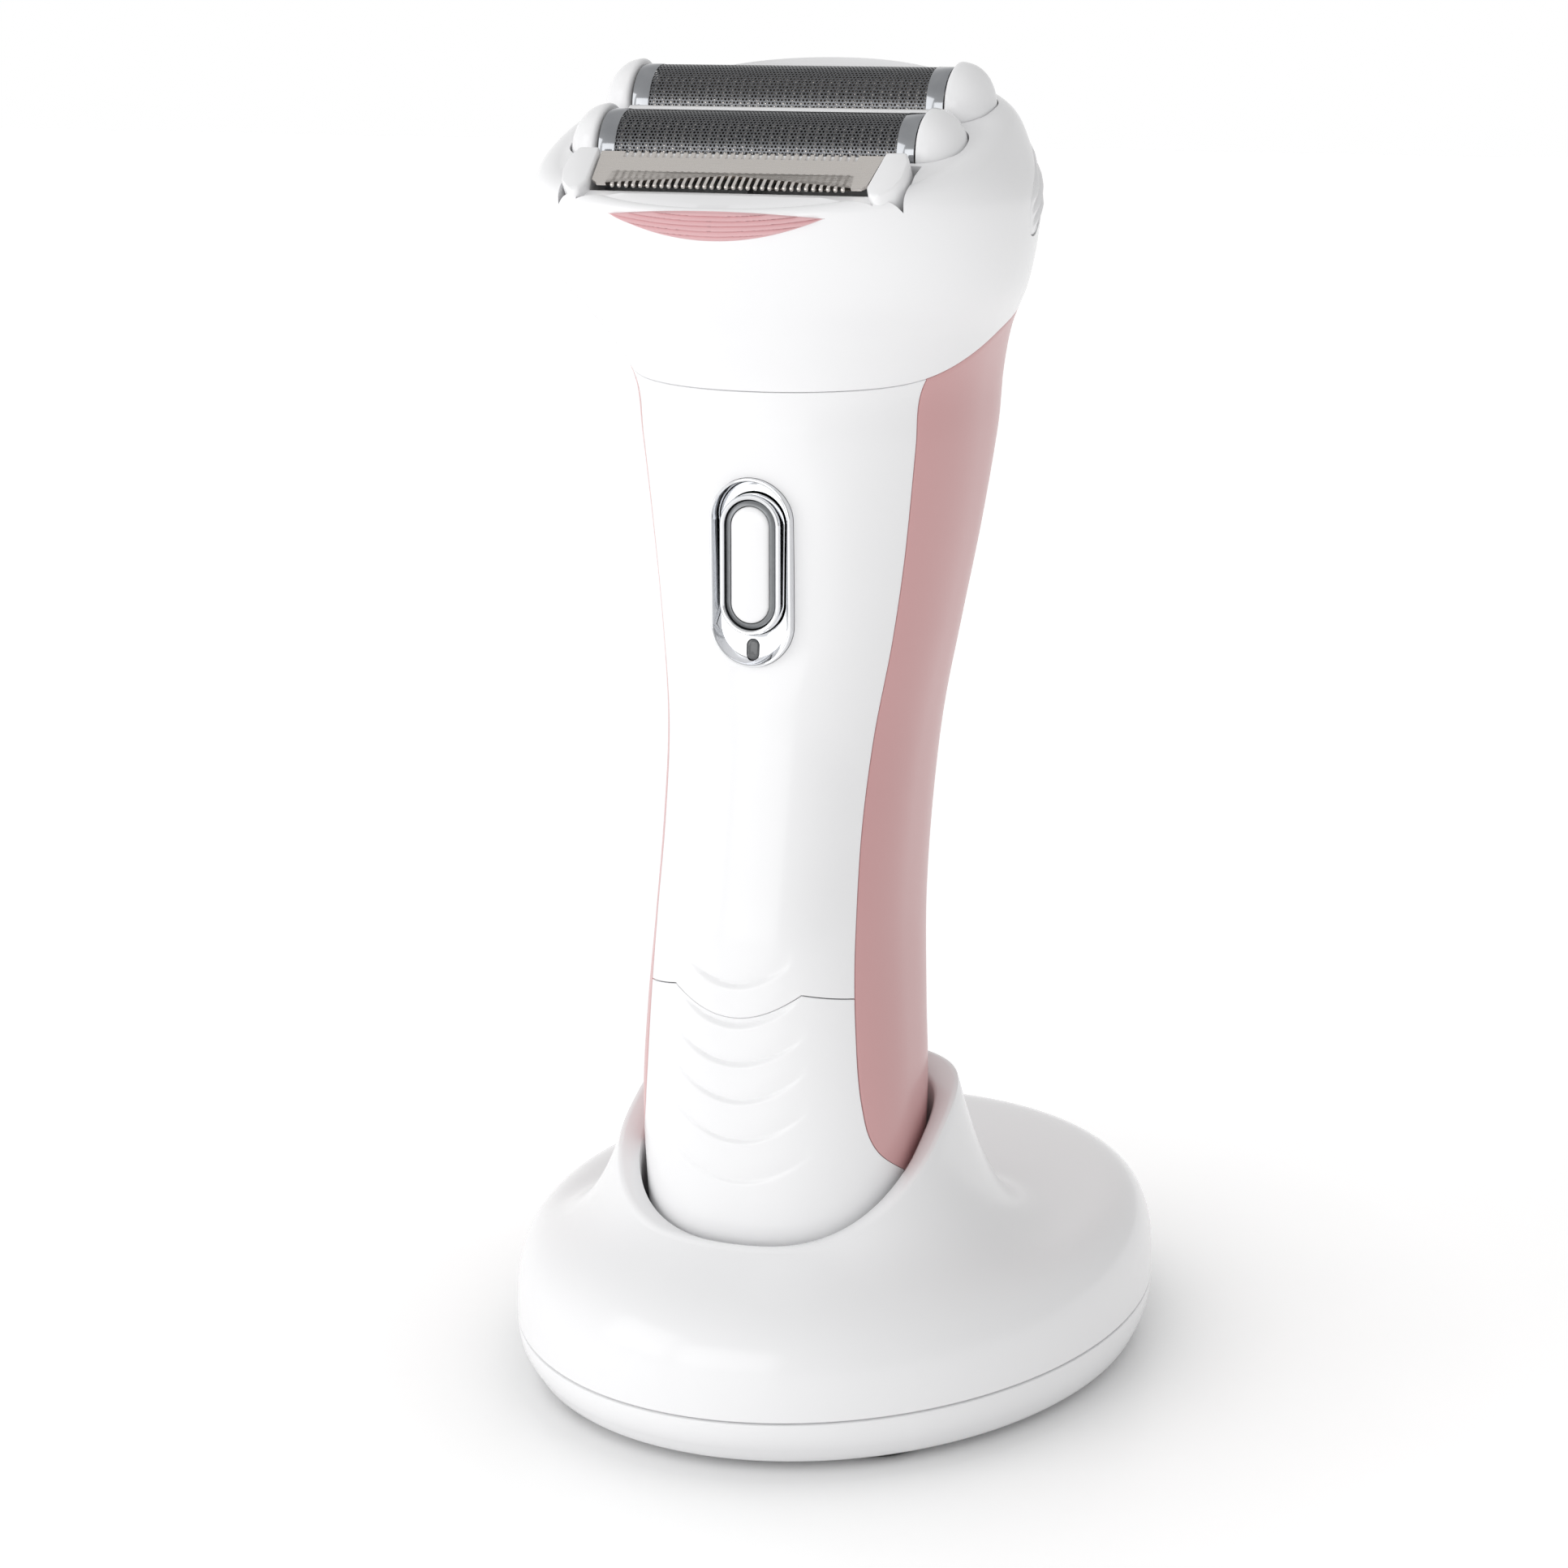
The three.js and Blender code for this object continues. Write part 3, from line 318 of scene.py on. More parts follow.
def stand_shell_rows():
    angles = [2 * math.pi * i / STAND_COLUMNS for i in range(STAND_COLUMNS)]
    edges = [Vector((STAND_HALF_X * math.cos(a), STAND_HALF_Y * math.sin(a), 0)) for a in angles]
    lips = [lip_point(a, STAND_LIP_WIDTH) for a in angles]

    def dome_row(share, inset=0.0):
        row = []
        for edge, lip in zip(edges, lips):
            flat_lip = Vector((lip.x, lip.y, 0))
            start = edge * (1 - inset / STAND_HALF_Y)
            at = start.lerp(flat_lip, share)
            at.z = dome_height((at - start).length, (at - flat_lip).length, lip.z) - inset
            row.append(at)
        return row

    ceiling = [dome_row(share, STAND_WALL) for share in (0.8, 0.6, 0.4, 0.25, 0.12, 0.05)]
    well = []
    for share in (0.0, 0.3, 0.7, 1.0):
        well.append([body_point(SOCKET_FLOOR - STAND_WALL + (top.z - SOCKET_FLOOR + STAND_WALL) * share, a,
                                SOCKET_CLEARANCE + STAND_WALL) for top, a in zip(ceiling[0], angles)])
    rows = well + ceiling
    rows.append([e * 0.955 + Vector((0, 0, STAND_SEAM)) for e in edges])
    rows.append([e * 0.997 + Vector((0, 0, STAND_SEAM)) for e in edges])
    rows.append([e + Vector((0, 0, STAND_SEAM + 0.15)) for e in edges])
    rows += [dome_row((row / STAND_ROWS) ** 1.5) for row in range(1, STAND_ROWS + 1)]
    for reach, drop in ((2.9, -0.2), (2.6, -0.32), (2.2, -0.3), (0.5, STAND_LIP_BEVEL - 0.15),
                        (0.15, STAND_LIP_BEVEL + 0.15), (0, STAND_LIP_BEVEL + 0.6)):
        rows.append([lip_point(a, reach) - Vector((0, 0, drop)) for a in angles])
    rim = rows[-1]
    for share in (0.15, 0.35, 0.6, 0.85, 1.0):
        rows.append([body_point(p.z + (SOCKET_FLOOR - p.z) * share, a, SOCKET_CLEARANCE)
                     for p, a in zip(rim, angles)])
    return rows


inlet_low, inlet_high = (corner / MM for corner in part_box("stand_power_inlet"))
INLET_RADIUS = 3.6
INLET_HEIGHT = inlet_low.z + INLET_RADIUS
contact_low, contact_high = (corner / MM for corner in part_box("stand_contact_right"))
CONTACT_X = (contact_low.x + contact_high.x) / 2
CONTACT_Y = (contact_low.y + contact_high.y) / 2

stand_shell = skin("stand_shell_moulding", stand_shell_rows(), polished_white_abs, cap_first=True,
                   cap_last=True)
inlet_hole = turned("hole", ((INLET_RADIUS + 0.25, 0), (INLET_RADIUS + 0.25, 12)), (0, 48, INLET_HEIGHT), None,
                    axis="Y")
pin_holes = [turned("hole", ((1.5, 0), (1.5, 8)), (side * CONTACT_X, CONTACT_Y, 7.0), None) for side in (-1, 1)]
cut_away(stand_shell, [inlet_hole] + pin_holes, crisp=35)
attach(stand_shell, "stand")
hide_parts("stand_shell")

# ---- Stand base plate ----
# A shallow oval tray of the same white ABS closes the stand from below. Four screws hold it, and a fine
# shadow line is left where it meets the shell.

PLATE_FOOT_X = 39.6
PLATE_FOOT_Y = 50.8
BOSS_PLACES = ((-24, 22), (24, 22), (-22, -27), (22, -27))
PAD_PLACES = ((-18, 34), (18, 34), (-18, -36), (18, -36))


def oval(half_x, half_y, z, count=160):
    return [Vector((half_x * math.cos(2 * math.pi * i / count), half_y * math.sin(2 * math.pi * i / count), z))
            for i in range(count)]


plate_rows = [oval(PLATE_FOOT_X - inset, PLATE_FOOT_Y - inset, z) for inset, z in
              ((30, 0.8), (2.6, 0.8), (1.6, 0.85), (0.8, 1.05), (0.3, 1.4), (0, 1.9))]
plate_rows += [oval(STAND_HALF_X - inset_x, STAND_HALF_Y - inset_y, z) for inset_x, inset_y, z in
               ((0.75, 1.9, 3.3), (0.3, 0.8, 4.6), (0.08, 0.2, 6.0), (0, 0, STAND_SEAM - 0.45),
                (0.04, 0.04, STAND_SEAM - 0.3), (0.2, 0.2, STAND_SEAM - 0.2), (1.8, 1.8, STAND_SEAM - 0.2),
                (2.2, 2.4, STAND_SEAM - 0.6), (3.4, 4.6, 3.2), (5, 7, 2.8), (30, 34, 2.8))]
base_plate = skin("stand_base_plate_moulding", plate_rows, polished_white_abs, cap_first=True, cap_last=True)
recesses = [turned("hole", ((2.9, 0), (2.9, 2.3)), (x, y, 0), None, 32) for x, y in BOSS_PLACES]
recesses += [turned("hole", ((5.2, 0), (5.2, 1.5)), (x, y, 0), None, 48) for x, y in PAD_PLACES]
cut_away(base_plate, recesses, crisp=35)
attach(base_plate, "stand")
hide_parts("stand_base_plate")

# ---- Stand feet ----
# Four die-cut discs of black rubber, pressed into the plate's recesses and a little proud of it.

soft_rubber = moulded_plastic("black nitrile rubber", "#2E2F30", "#38393A", 0.75, 0.25, 0.02)
for number, (x, y) in enumerate(PAD_PLACES, 1):
    profile = ((4.2, 0.05), (4.6, 0.0), (4.9, 0.12), (5.0, 0.4), (5.0, 1.3), (4.9, 1.4))
    foot = turned(f"stand_foot_pad_{number}", profile, (x, y, 0), soft_rubber)
    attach(foot, "stand")
    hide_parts(f"stand_foot_{number}")

# ---- Stand screws ----
# Four zinc-plated pan-head screws with a cross recess, up through the plate into the shell's bosses. One tree
# makes a screw and sets it on each place; the threads are left as the plain shank, which the bosses hide.


def plated_metal(name, colour, shade, roughness, streak_mm=(0.0, 0.0, 0.0), relief_mm=0.0):
    """A metal face: its colour and roughness drift along streaks of the given sizes."""
    material = bpy.data.materials.new(name)
    material.use_nodes = True
    tree = material.node_tree
    shader = tree.nodes["Principled BSDF"]
    place = add_node(tree, "ShaderNodeTexCoord")
    scale = [1 / (size * MM) if size else 200.0 for size in streak_mm]
    stretch = add_node(tree, "ShaderNodeMapping", inputs={"Scale": scale}, links=[("Vector", place, "Object")])
    streaks = add_node(tree, "ShaderNodeTexNoise", inputs={"Scale": 1.0, "Detail": 4.0},
                       links=[("Vector", stretch, "Vector")])
    tint = add_node(tree, "ShaderNodeMix", {"data_type": "RGBA"}, {6: linear(colour), 7: linear(shade)},
                    [(0, streaks, "Fac")])
    gloss = add_node(tree, "ShaderNodeMapRange", inputs={"To Min": roughness * 0.7, "To Max": roughness * 1.4},
                     links=[("Value", streaks, "Fac")])
    tree.links.new(tint.outputs[2], shader.inputs["Base Color"])
    tree.links.new(gloss.outputs["Result"], shader.inputs["Roughness"])
    if relief_mm:
        relief = add_node(tree, "ShaderNodeBump", inputs={"Strength": 0.5, "Distance": relief_mm * MM},
                          links=[("Height", streaks, "Fac")])
        tree.links.new(relief.outputs["Normal"], shader.inputs["Normal"])
    shader.inputs["Metallic"].default_value = 1.0
    return material


zinc_plated_steel = plated_metal("zinc-plated steel", "#C9CBCB", "#B4B6B4", 0.3, (0.4, 0.4, 0.4))


def named_tree(name, sizes):
    """An empty tree with a geometry input and named inputs for its sizes and counts."""
    tree = bpy.data.node_groups.new(name, "GeometryNodeTree")
    tree.interface.new_socket("Geometry", in_out="INPUT", socket_type="NodeSocketGeometry")
    for label, value in sizes.items():
        kind = "NodeSocketInt" if isinstance(value, int) else "NodeSocketFloat"
        tree.interface.new_socket(label, in_out="INPUT", socket_type=kind)
    tree.interface.new_socket("Geometry", in_out="OUTPUT", socket_type="NodeSocketGeometry")
    return tree


def run_tree(piece, tree, sizes, crisp=40):
    """Runs a tree on a piece with its sizes set, and leaves the result as a plain mesh."""
    modifier = piece.modifiers.new(tree.name, "NODES")
    modifier.node_group = tree
    for socket in tree.interface.items_tree:
        if socket.in_out == "INPUT" and socket.name in sizes:
            modifier[socket.identifier] = sizes[socket.name]
    return settle(piece, crisp)


def close_tree(tree, last, output, material):
    """Ends a tree in real geometry with its material."""
    real = add_node(tree, "GeometryNodeRealizeInstances", links=[("Geometry", last, output)])
    painted = add_node(tree, "GeometryNodeSetMaterial", inputs={"Material": material},
                       links=[("Geometry", real, "Geometry")])
    add_node(tree, "NodeGroupOutput", links=[("Geometry", painted, "Geometry")])


def maths(tree, operation, *terms):
    """Adds a math node; a term is a number or a (node, output) pair, and so is what it gives back."""
    node = add_node(tree, "ShaderNodeMath", {"operation": operation})
    for socket, term in enumerate(terms):
        if isinstance(term, tuple):
            tree.links.new(term[0].outputs[term[1]], node.inputs[socket])
        else:
            node.inputs[socket].default_value = term
    return node, "Value"


def joined(tree, *parts):
    """Joins the geometry of several (node, output) pairs."""
    join = add_node(tree, "GeometryNodeJoinGeometry")
    for node, output in parts:
        tree.links.new(node.outputs[output], join.inputs["Geometry"])
    return join


def scaled_vector(tree, given, names):
    """A vector from three of a tree's named inputs; a number stands for a fixed part."""
    combine = add_node(tree, "ShaderNodeCombineXYZ")
    for axis, name in zip("XYZ", names):
        if isinstance(name, str):
            tree.links.new(given.outputs[name], combine.inputs[axis])
        else:
            combine.inputs[axis].default_value = name
    return combine


SCREW_HEAD_TAPER = 0.72
SCREW_SIZES = {"Head Radius": 2.4 * MM, "Head Height": 1.7 * MM, "Shank Radius": 1.15 * MM,
               "Shank Length": 13.0 * MM, "Recess Width": 0.7 * MM, "Recess Length": 2.6 * MM}


def screw_tree():
    tree = named_tree("cross-recess screw", SCREW_SIZES)
    given = add_node(tree, "NodeGroupInput")
    head = add_node(tree, "GeometryNodeMeshCone", inputs={"Vertices": 32, "Side Segments": 3},
                    links=[("Radius Bottom", given, "Head Radius"), ("Depth", given, "Head Height")])
    narrow = maths(tree, "MULTIPLY", (given, "Head Radius"), SCREW_HEAD_TAPER)
    tree.links.new(narrow[0].outputs["Value"], head.inputs["Radius Top"])
    flipped = add_node(tree, "GeometryNodeTransform", inputs={"Rotation": (math.pi, 0, 0)},
                       links=[("Geometry", head, "Mesh")])
    recess = []
    for turn in (0, math.pi / 2):
        size = scaled_vector(tree, given, ("Recess Length", "Recess Width", "Head Height"))
        bar = add_node(tree, "GeometryNodeMeshCube", links=[("Size", size, "Vector")])
        recess.append(add_node(tree, "GeometryNodeTransform",
                               inputs={"Rotation": (0, 0, turn), "Translation": (0, 0, -1.9 * MM)},
                               links=[("Geometry", bar, "Mesh")]))
    cross = add_node(tree, "GeometryNodeMeshBoolean", {"operation": "DIFFERENCE", "solver": "EXACT"},
                     links=[("Mesh 1", flipped, "Geometry")])
    for bar in recess:
        tree.links.new(bar.outputs["Geometry"], cross.inputs["Mesh 2"])
    shank = add_node(tree, "GeometryNodeMeshCylinder", inputs={"Vertices": 20},
                     links=[("Radius", given, "Shank Radius"), ("Depth", given, "Shank Length")])
    raised = add_node(tree, "GeometryNodeTransform", inputs={"Translation": (0, 0, 6.45 * MM)},
                      links=[("Geometry", shank, "Mesh")])
    screw = joined(tree, (cross, "Mesh"), (raised, "Geometry"))
    placed = add_node(tree, "GeometryNodeInstanceOnPoints",
                      links=[("Points", given, "Geometry"), ("Instance", screw, "Geometry")])
    close_tree(tree, placed, "Instances", zinc_plated_steel)
    return tree


screws = make_piece("stand_cross_recess_screws", [(x, y, 2.05) for x, y in BOSS_PLACES], [], zinc_plated_steel)
run_tree(screws, screw_tree(), SCREW_SIZES, crisp=30)
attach(screws, "stand")
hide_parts("stand_screw_1", "stand_screw_2", "stand_screw_3", "stand_screw_4")

# ---- Stand contacts and power inlet ----
# Two turned and gold-plated pins stand through the socket's floor from a small board, and a round barrel jack
# looks out at the back of the shell.

gold_plated_brass = plated_metal("gold-plated brass", "#D9B26A", "#C79A55", 0.22, (0.3, 0.3, 0.3))
for side, word in ((-1, "left"), (1, "right")):
    profile = ((1.9, 0), (2.0, 0.1), (2.0, 1.25), (1.9, 1.35), (1.1, 1.4), (1.1, 5.5), (0.9, 5.9), (0.4, 6.1))
    pin = turned(f"stand_pin_{word}", profile, (side * CONTACT_X, CONTACT_Y, contact_low.z),
                 gold_plated_brass, 32)
    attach(pin, "stand")
    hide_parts(f"stand_contact_{word}")

matt_grey_abs = moulded_plastic("matt grey ABS", "#8A8C8E", "#808284", 0.5, 0.4, 0.012)
jack_profile = ((3.4, 0), (3.6, 0.2), (3.6, 5.9), (3.3, 6.0), (2.85, 6.0), (2.7, 5.8), (2.7, 0.6), (1.1, 0.5),
                (0.95, 0.7), (0.95, 4.6), (0.6, 4.9))
jack = turned("stand_barrel_jack", jack_profile, (0, inlet_high.y - 6.0, INLET_HEIGHT), matt_grey_abs, axis="Y",
              crisp=50)
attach(jack, "stand")
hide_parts("stand_power_inlet")

# ---- Lower cover ----
# The handle's foot is a cup of polished white ABS that rises in front as a tongue between the pink sides. A
# ladder of shallow smile-shaped grips runs up its front, and its top edge dips in the same arc.

SEAM_GAP = 0.16
SHELL_WALL = 1.7
SHELL_EDGE = 0.16
FOOT_HEIGHT = 14.0
FOOT_ROUND = 6.0
CUP_TOP = 30.0
PANEL_EDGE = smooth_curve([(30, -18.0), (32, -24.0), (36, -30.0), (42, -32.3), (52, -32.7), (62, -31.8),
                           (76, -29.0), (88, -26.1), (100, -23.9), (112, -23.2), (131, -23.8)])
COVER_SEAM_TIP = 57.5
COVER_SEAM_DIP = 3.2
COVER_SEAM_HALF = 8.3
COVER_SEAM_END = 14.0
COVER_SEAM_FALL = 1.3
# each grip's lowest height, and the half width and height of its tips
GRIPS = ((58.6, 7.1, 61.6), (53.5, 7.9, 56.8), (48.5, 8.8, 52.3), (43.6, 8.9, 47.7), (38.4, 9.0, 42.5),
         (33.0, 9.5, 37.0))
GRIP_DEPTH = (0.6, 0.6, 0.56, 0.52, 0.44, 0.34)
GRIP_TUCK = 2.6
GRIP_RETURN = 0.55


def cover_seam(x):
    """Height of the seam between the two front covers at x."""
    across = abs(x) / COVER_SEAM_HALF
    if across < 1:
        return COVER_SEAM_TIP - COVER_SEAM_DIP * (1 - across * across)
    fall = (abs(x) - COVER_SEAM_HALF) / (COVER_SEAM_END - COVER_SEAM_HALF)
    return COVER_SEAM_TIP - COVER_SEAM_FALL * min(fall, 1.2)


def grip_depth(x, z):
    """How far the grips draw the surface in at x and z: a slow tuck down to each line, then a crisp return."""
    depth = 0.0
    for (low, half, tip), deepest in zip(GRIPS, GRIP_DEPTH):
        across = abs(x) / half
        if across >= 1:
            continue
        above = z - (low + (tip - low) * across ** 2)
        fade = (1 - across ** 2) ** 0.8
        if 0 <= above < GRIP_TUCK:
            depth += deepest * fade * (1 - above / GRIP_TUCK) ** 2
        elif -GRIP_RETURN < above < 0:
            share = 1 + above / GRIP_RETURN
            depth += deepest * fade * share ** 1.3
    return depth


def give_wall(piece, wall_mm, edge_mm, crisp=40):
    """Thickens an outer skin inwards to a moulded wall and softens its edges."""
    wall = piece.modifiers.new("wall", "SOLIDIFY")
    wall.thickness = wall_mm * MM
    wall.offset = -1
    edge = piece.modifiers.new("edge", "BEVEL")
    edge.width = edge_mm * MM
    edge.segments = 2
    edge.limit_method = "ANGLE"
    edge.angle_limit = math.radians(50)
    return settle(piece, crisp)


def merge_seams(piece):
    """Welds the points that neighbouring patches of a skin share."""
    weld = piece.modifiers.new("weld", "WELD")
    weld.merge_threshold = 0.01 * MM
    return settle(piece)


def panel_angle(z, gap=0.0):
    """The right-hand angle at which the panel's edge runs at height z, a gap further back."""
    return body_angle(z, PANEL_EDGE(max(z, CUP_TOP)) + gap)


def front_columns(z, count, gap):
    """Angles from the left panel edge round the front to the right one."""
    edge = panel_angle(z, gap)
    left = -math.pi - edge
    return [left + (edge - left) * i / (count - 1) for i in range(count)]


def foot_rounding(z):
    """How far the rounded foot draws the section in."""
    below = max(0.0, FOOT_HEIGHT + FOOT_ROUND - z) / FOOT_ROUND
    return FOOT_ROUND * (1 - math.sqrt(max(0.0, 1 - below * below)))


LOWER_COLUMNS = 120
LOWER_REAR_COLUMNS = 60
LOWER_ROWS = 150


def lower_cover_skin():
    rises = (0, 0.05, 0.2, 0.5, 1, 1.7, 2.6, 3.8, 5, 6, 8, 10, 12, 14, 15, 16)
    cup_heights = [FOOT_HEIGHT + rise for rise in rises]
    front_angles = front_columns(CUP_TOP, LOWER_COLUMNS, -SEAM_GAP)
    right, left = front_angles[-1], front_angles[0] + 2 * math.pi
    rear_angles = [right + (left - right) * i / (LOWER_REAR_COLUMNS - 1) for i in range(LOWER_REAR_COLUMNS)]
    front_rows = [[body_point(z, a, -foot_rounding(z)) for a in front_angles] for z in cup_heights]
    rear_rows = [[body_point(z, a, -foot_rounding(z)) for a in rear_angles] for z in cup_heights]
    for shrink in (0.8, 0.55, 0.3):
        middle = Vector((0, body_middle(FOOT_HEIGHT), FOOT_HEIGHT))
        for rows, angles in ((front_rows, front_angles), (rear_rows, rear_angles)):
            rows.insert(0, [middle.lerp(body_point(FOOT_HEIGHT, a, -FOOT_ROUND), shrink) for a in angles])
    tongue = []
    tops = []
    for i in range(LOWER_COLUMNS):
        z = COVER_SEAM_TIP
        for _ in range(8):
            z = cover_seam(body_point(z, front_columns(z, LOWER_COLUMNS, -SEAM_GAP)[i]).x) - SEAM_GAP / 2
        tops.append(z)
    for row in range(1, LOWER_ROWS + 1):
        line = []
        for i, top in enumerate(tops):
            z = CUP_TOP + (top - CUP_TOP) * row / LOWER_ROWS
            edge = panel_angle(z, -SEAM_GAP)
            angle = -math.pi - edge + (math.pi + 2 * edge) * i / (LOWER_COLUMNS - 1)
            plain_point = body_point(z, angle)
            line.append(body_point(z, angle, -grip_depth(plain_point.x, z)))
        tongue.append(line)
    front_rows += tongue
    points = [p for row in front_rows for p in row]
    faces = grid_faces(len(front_rows), LOWER_COLUMNS, closed=False)
    start = len(points)
    points += [p for row in rear_rows for p in row]
    rear_faces = grid_faces(len(rear_rows), LOWER_REAR_COLUMNS, closed=False)
    faces += [tuple(start + k for k in face) for face in rear_faces]
    middle = len(points)
    points.append(Vector((0, body_middle(FOOT_HEIGHT), FOOT_HEIGHT)))
    faces += [(i + 1, i, middle) for i in range(LOWER_COLUMNS - 1)]
    faces += [(start + i + 1, start + i, middle) for i in range(LOWER_REAR_COLUMNS - 1)]
    return points, faces


lower_cover = merge_seams(make_piece("lower_cover_moulding", *lower_cover_skin(), polished_white_abs))
give_wall(lower_cover, SHELL_WALL, SHELL_EDGE)
contact_holes = [turned("hole", ((1.9, 0), (1.9, 4)), (side * CONTACT_X, CONTACT_Y, FOOT_HEIGHT - 1), None, 32)
                 for side in (-1, 1)]
cut_away(lower_cover, contact_holes)
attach(lower_cover, "shaver")
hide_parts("lower_cover")

# ---- Front cover ----
# The long white panel down the handle's front, moulded in polished ABS between the pink edges. It is dished a
# little round the power button's bezel and carries the topmost grip above the lower cover's seam.

NECK_SEAM = smooth_curve([(-48, 130.2), (-34, 131.0), (-23.6, 132.3), (-12, 137.2), (0, 142.0), (14, 146.0)])
FRONT_COLUMNS = 110
FRONT_ROWS = 190
BEZEL_DISH = 0.5
BEZEL_DISH_REACH = 3.4

bezel_low, bezel_high = (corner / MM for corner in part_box("button_bezel"))
BEZEL_HALF = bezel_high.x
BEZEL_BOTTOM = bezel_low.z
BEZEL_TOP = bezel_high.z


def stadium_distance(x, z, half, low, high):
    """How far a point lies outside an upright stadium."""
    middle = min(max(z, low + half), high - half)
    return math.hypot(x, z - middle) - half


def bezel_dish(x, z):
    away = max(0.0, stadium_distance(x, z, BEZEL_HALF, BEZEL_BOTTOM, BEZEL_TOP))
    return BEZEL_DISH * math.exp(-(away / BEZEL_DISH_REACH) ** 2)


def neck_height(angle_at, offset):
    """Height at which a column meets the neck seam; angle_at gives the column's angle at a height."""
    z = 133.0
    for _ in range(14):
        z = (z + NECK_SEAM(body_point(z, angle_at(z)).y) + offset) / 2
    return z


def front_cover_rows():
    columns = []
    for i in range(FRONT_COLUMNS):
        share = i / (FRONT_COLUMNS - 1)

        def angle_at(z):
            edge = panel_angle(z, -SEAM_GAP)
            return -math.pi - edge + (math.pi + 2 * edge) * share

        bottom = COVER_SEAM_TIP
        for _ in range(8):
            bottom = cover_seam(body_point(bottom, angle_at(bottom)).x) + SEAM_GAP / 2
        top = neck_height(angle_at, -SEAM_GAP)
        column = []
        for row in range(FRONT_ROWS + 1):
            z = bottom + (top - bottom) * (row / FRONT_ROWS) ** 1.15
            flat = body_point(z, angle_at(z))
            draw_in = grip_depth(flat.x, z) + bezel_dish(flat.x, z)
            column.append(body_point(z, angle_at(z), -draw_in))
        columns.append(column)
    return [list(row) for row in zip(*columns)]


def stadium(half, low, high, y, count=64):
    """A ring of points round an upright stadium at depth y, anticlockwise seen from the front."""
    points = []
    for i in range(count):
        turn = 2 * math.pi * (i + 0.5) / count
        middle = high - half if turn < math.pi else low + half
        points.append(Vector((half * math.cos(turn), y, middle + half * math.sin(turn))))
    return points


def stadium_body(name, rows, material, crisp=40):
    """A closed body through stadium rings that run from its back to its front."""
    return skin(name, rows, material, cap_first=True, cap_last=True, crisp=crisp)


front_cover = skin("front_cover_moulding", front_cover_rows(), polished_white_abs, closed=False)
give_wall(front_cover, SHELL_WALL, SHELL_EDGE)
hole_rings = [stadium(BEZEL_HALF + 0.04, BEZEL_BOTTOM - 0.04, BEZEL_TOP + 0.04, y) for y in (-20, -50)]
bezel_hole = stadium_body("hole", hole_rings, None)
cut_away(front_cover, [bezel_hole])
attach(front_cover, "shaver")
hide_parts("front_cover")

# ---- Rear housing ----
# The handle's sides and back are one pink moulding, satin-polished, with a softly squared back. It ends in a
# rounded point beside the foot and runs up under the head.

satin_pink_abs = moulded_plastic("satin pink ABS", "#D2A2A2", "#CF9E9E", 0.3, 1.4, 0.0012, coat=0.15)
HOUSING_COLUMNS = 150
HOUSING_ROWS = 150


def rear_housing_rows():
    columns = []
    for i in range(HOUSING_COLUMNS):
        share = i / (HOUSING_COLUMNS - 1)

        def angle_at(z):
            edge = panel_angle(z)
            return edge + (math.pi - 2 * edge) * share

        bottom = CUP_TOP + SEAM_GAP
        top = neck_height(angle_at, -SEAM_GAP)
        heights = [bottom + (top - bottom) * (row / HOUSING_ROWS) ** 1.4 for row in range(HOUSING_ROWS + 1)]
        columns.append([body_point(z, angle_at(z)) for z in heights])
    return [list(row) for row in zip(*columns)]


rear_housing = skin("rear_housing_moulding", rear_housing_rows(), satin_pink_abs, closed=False)
give_wall(rear_housing, SHELL_WALL, SHELL_EDGE)
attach(rear_housing, "shaver")
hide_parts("rear_housing")

# ---- Charge contacts ----
# Two gold-plated discs, pressed into the foot of the lower cover, that rest on the stand's pins.

for side, word in ((-1, "left"), (1, "right")):
    profile = ((1.3, 0.1), (1.5, 0.2), (1.6, 0.45), (1.6, 4.6), (1.5, 4.8))
    disc = turned(f"charge_disc_{word}", profile, (side * CONTACT_X, CONTACT_Y, FOOT_HEIGHT),
                  gold_plated_brass, 32)
    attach(disc, "shaver")
    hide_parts(f"charge_contact_{word}")

# ---- Power button ----
# A chromed ABS bezel, dished deep behind the button's top and shallow at the charge lamp, holds a round-ended
# button: a chromed outer ring, a grey band in a groove and a crowned white pad.

bright_chrome = plated_metal("bright chrome on ABS", "#E6E7E9", "#DFE0E2", 0.07, (3.0, 3.0, 3.0))
button_low, button_high = (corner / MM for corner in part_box("button_ring"))
BUTTON_HALF = button_high.x
BUTTON_BOTTOM = button_low.z
BUTTON_TOP = button_high.z
BEZEL_BACK = bezel_high.y
BUTTON_FACE = button_low.y
FLOOR_DEPTH = smooth_curve([(97, 0.75), (100, 0.95), (105, 1.4), (115, 1.9), (120, 2.1)])


def bezel_ring(inset, behind):
    """A stadium inset from the bezel's outline and lying behind the handle's front."""
    outline = stadium(BEZEL_HALF - inset, BEZEL_BOTTOM + inset, BEZEL_TOP - inset, 0)
    return [Vector((p.x, body_front(p.z) + behind, p.z)) for p in outline]


def bezel_floor(share, extra=0.0):
    """A ring on the dish's sloping floor, from its outer edge to the hole round the button."""
    outer = stadium(BEZEL_HALF - 0.95, BEZEL_BOTTOM + 0.95, BEZEL_TOP - 0.95, 0)
    inner = stadium(BUTTON_HALF + 0.15, BUTTON_BOTTOM - 0.15, BUTTON_TOP + 0.15, 0)
    ring_points = []
    for a, b in zip(outer, inner):
        p = a.lerp(b, share)
        ring_points.append(Vector((p.x, body_front(p.z) + FLOOR_DEPTH(p.z) + extra, p.z)))
    return ring_points


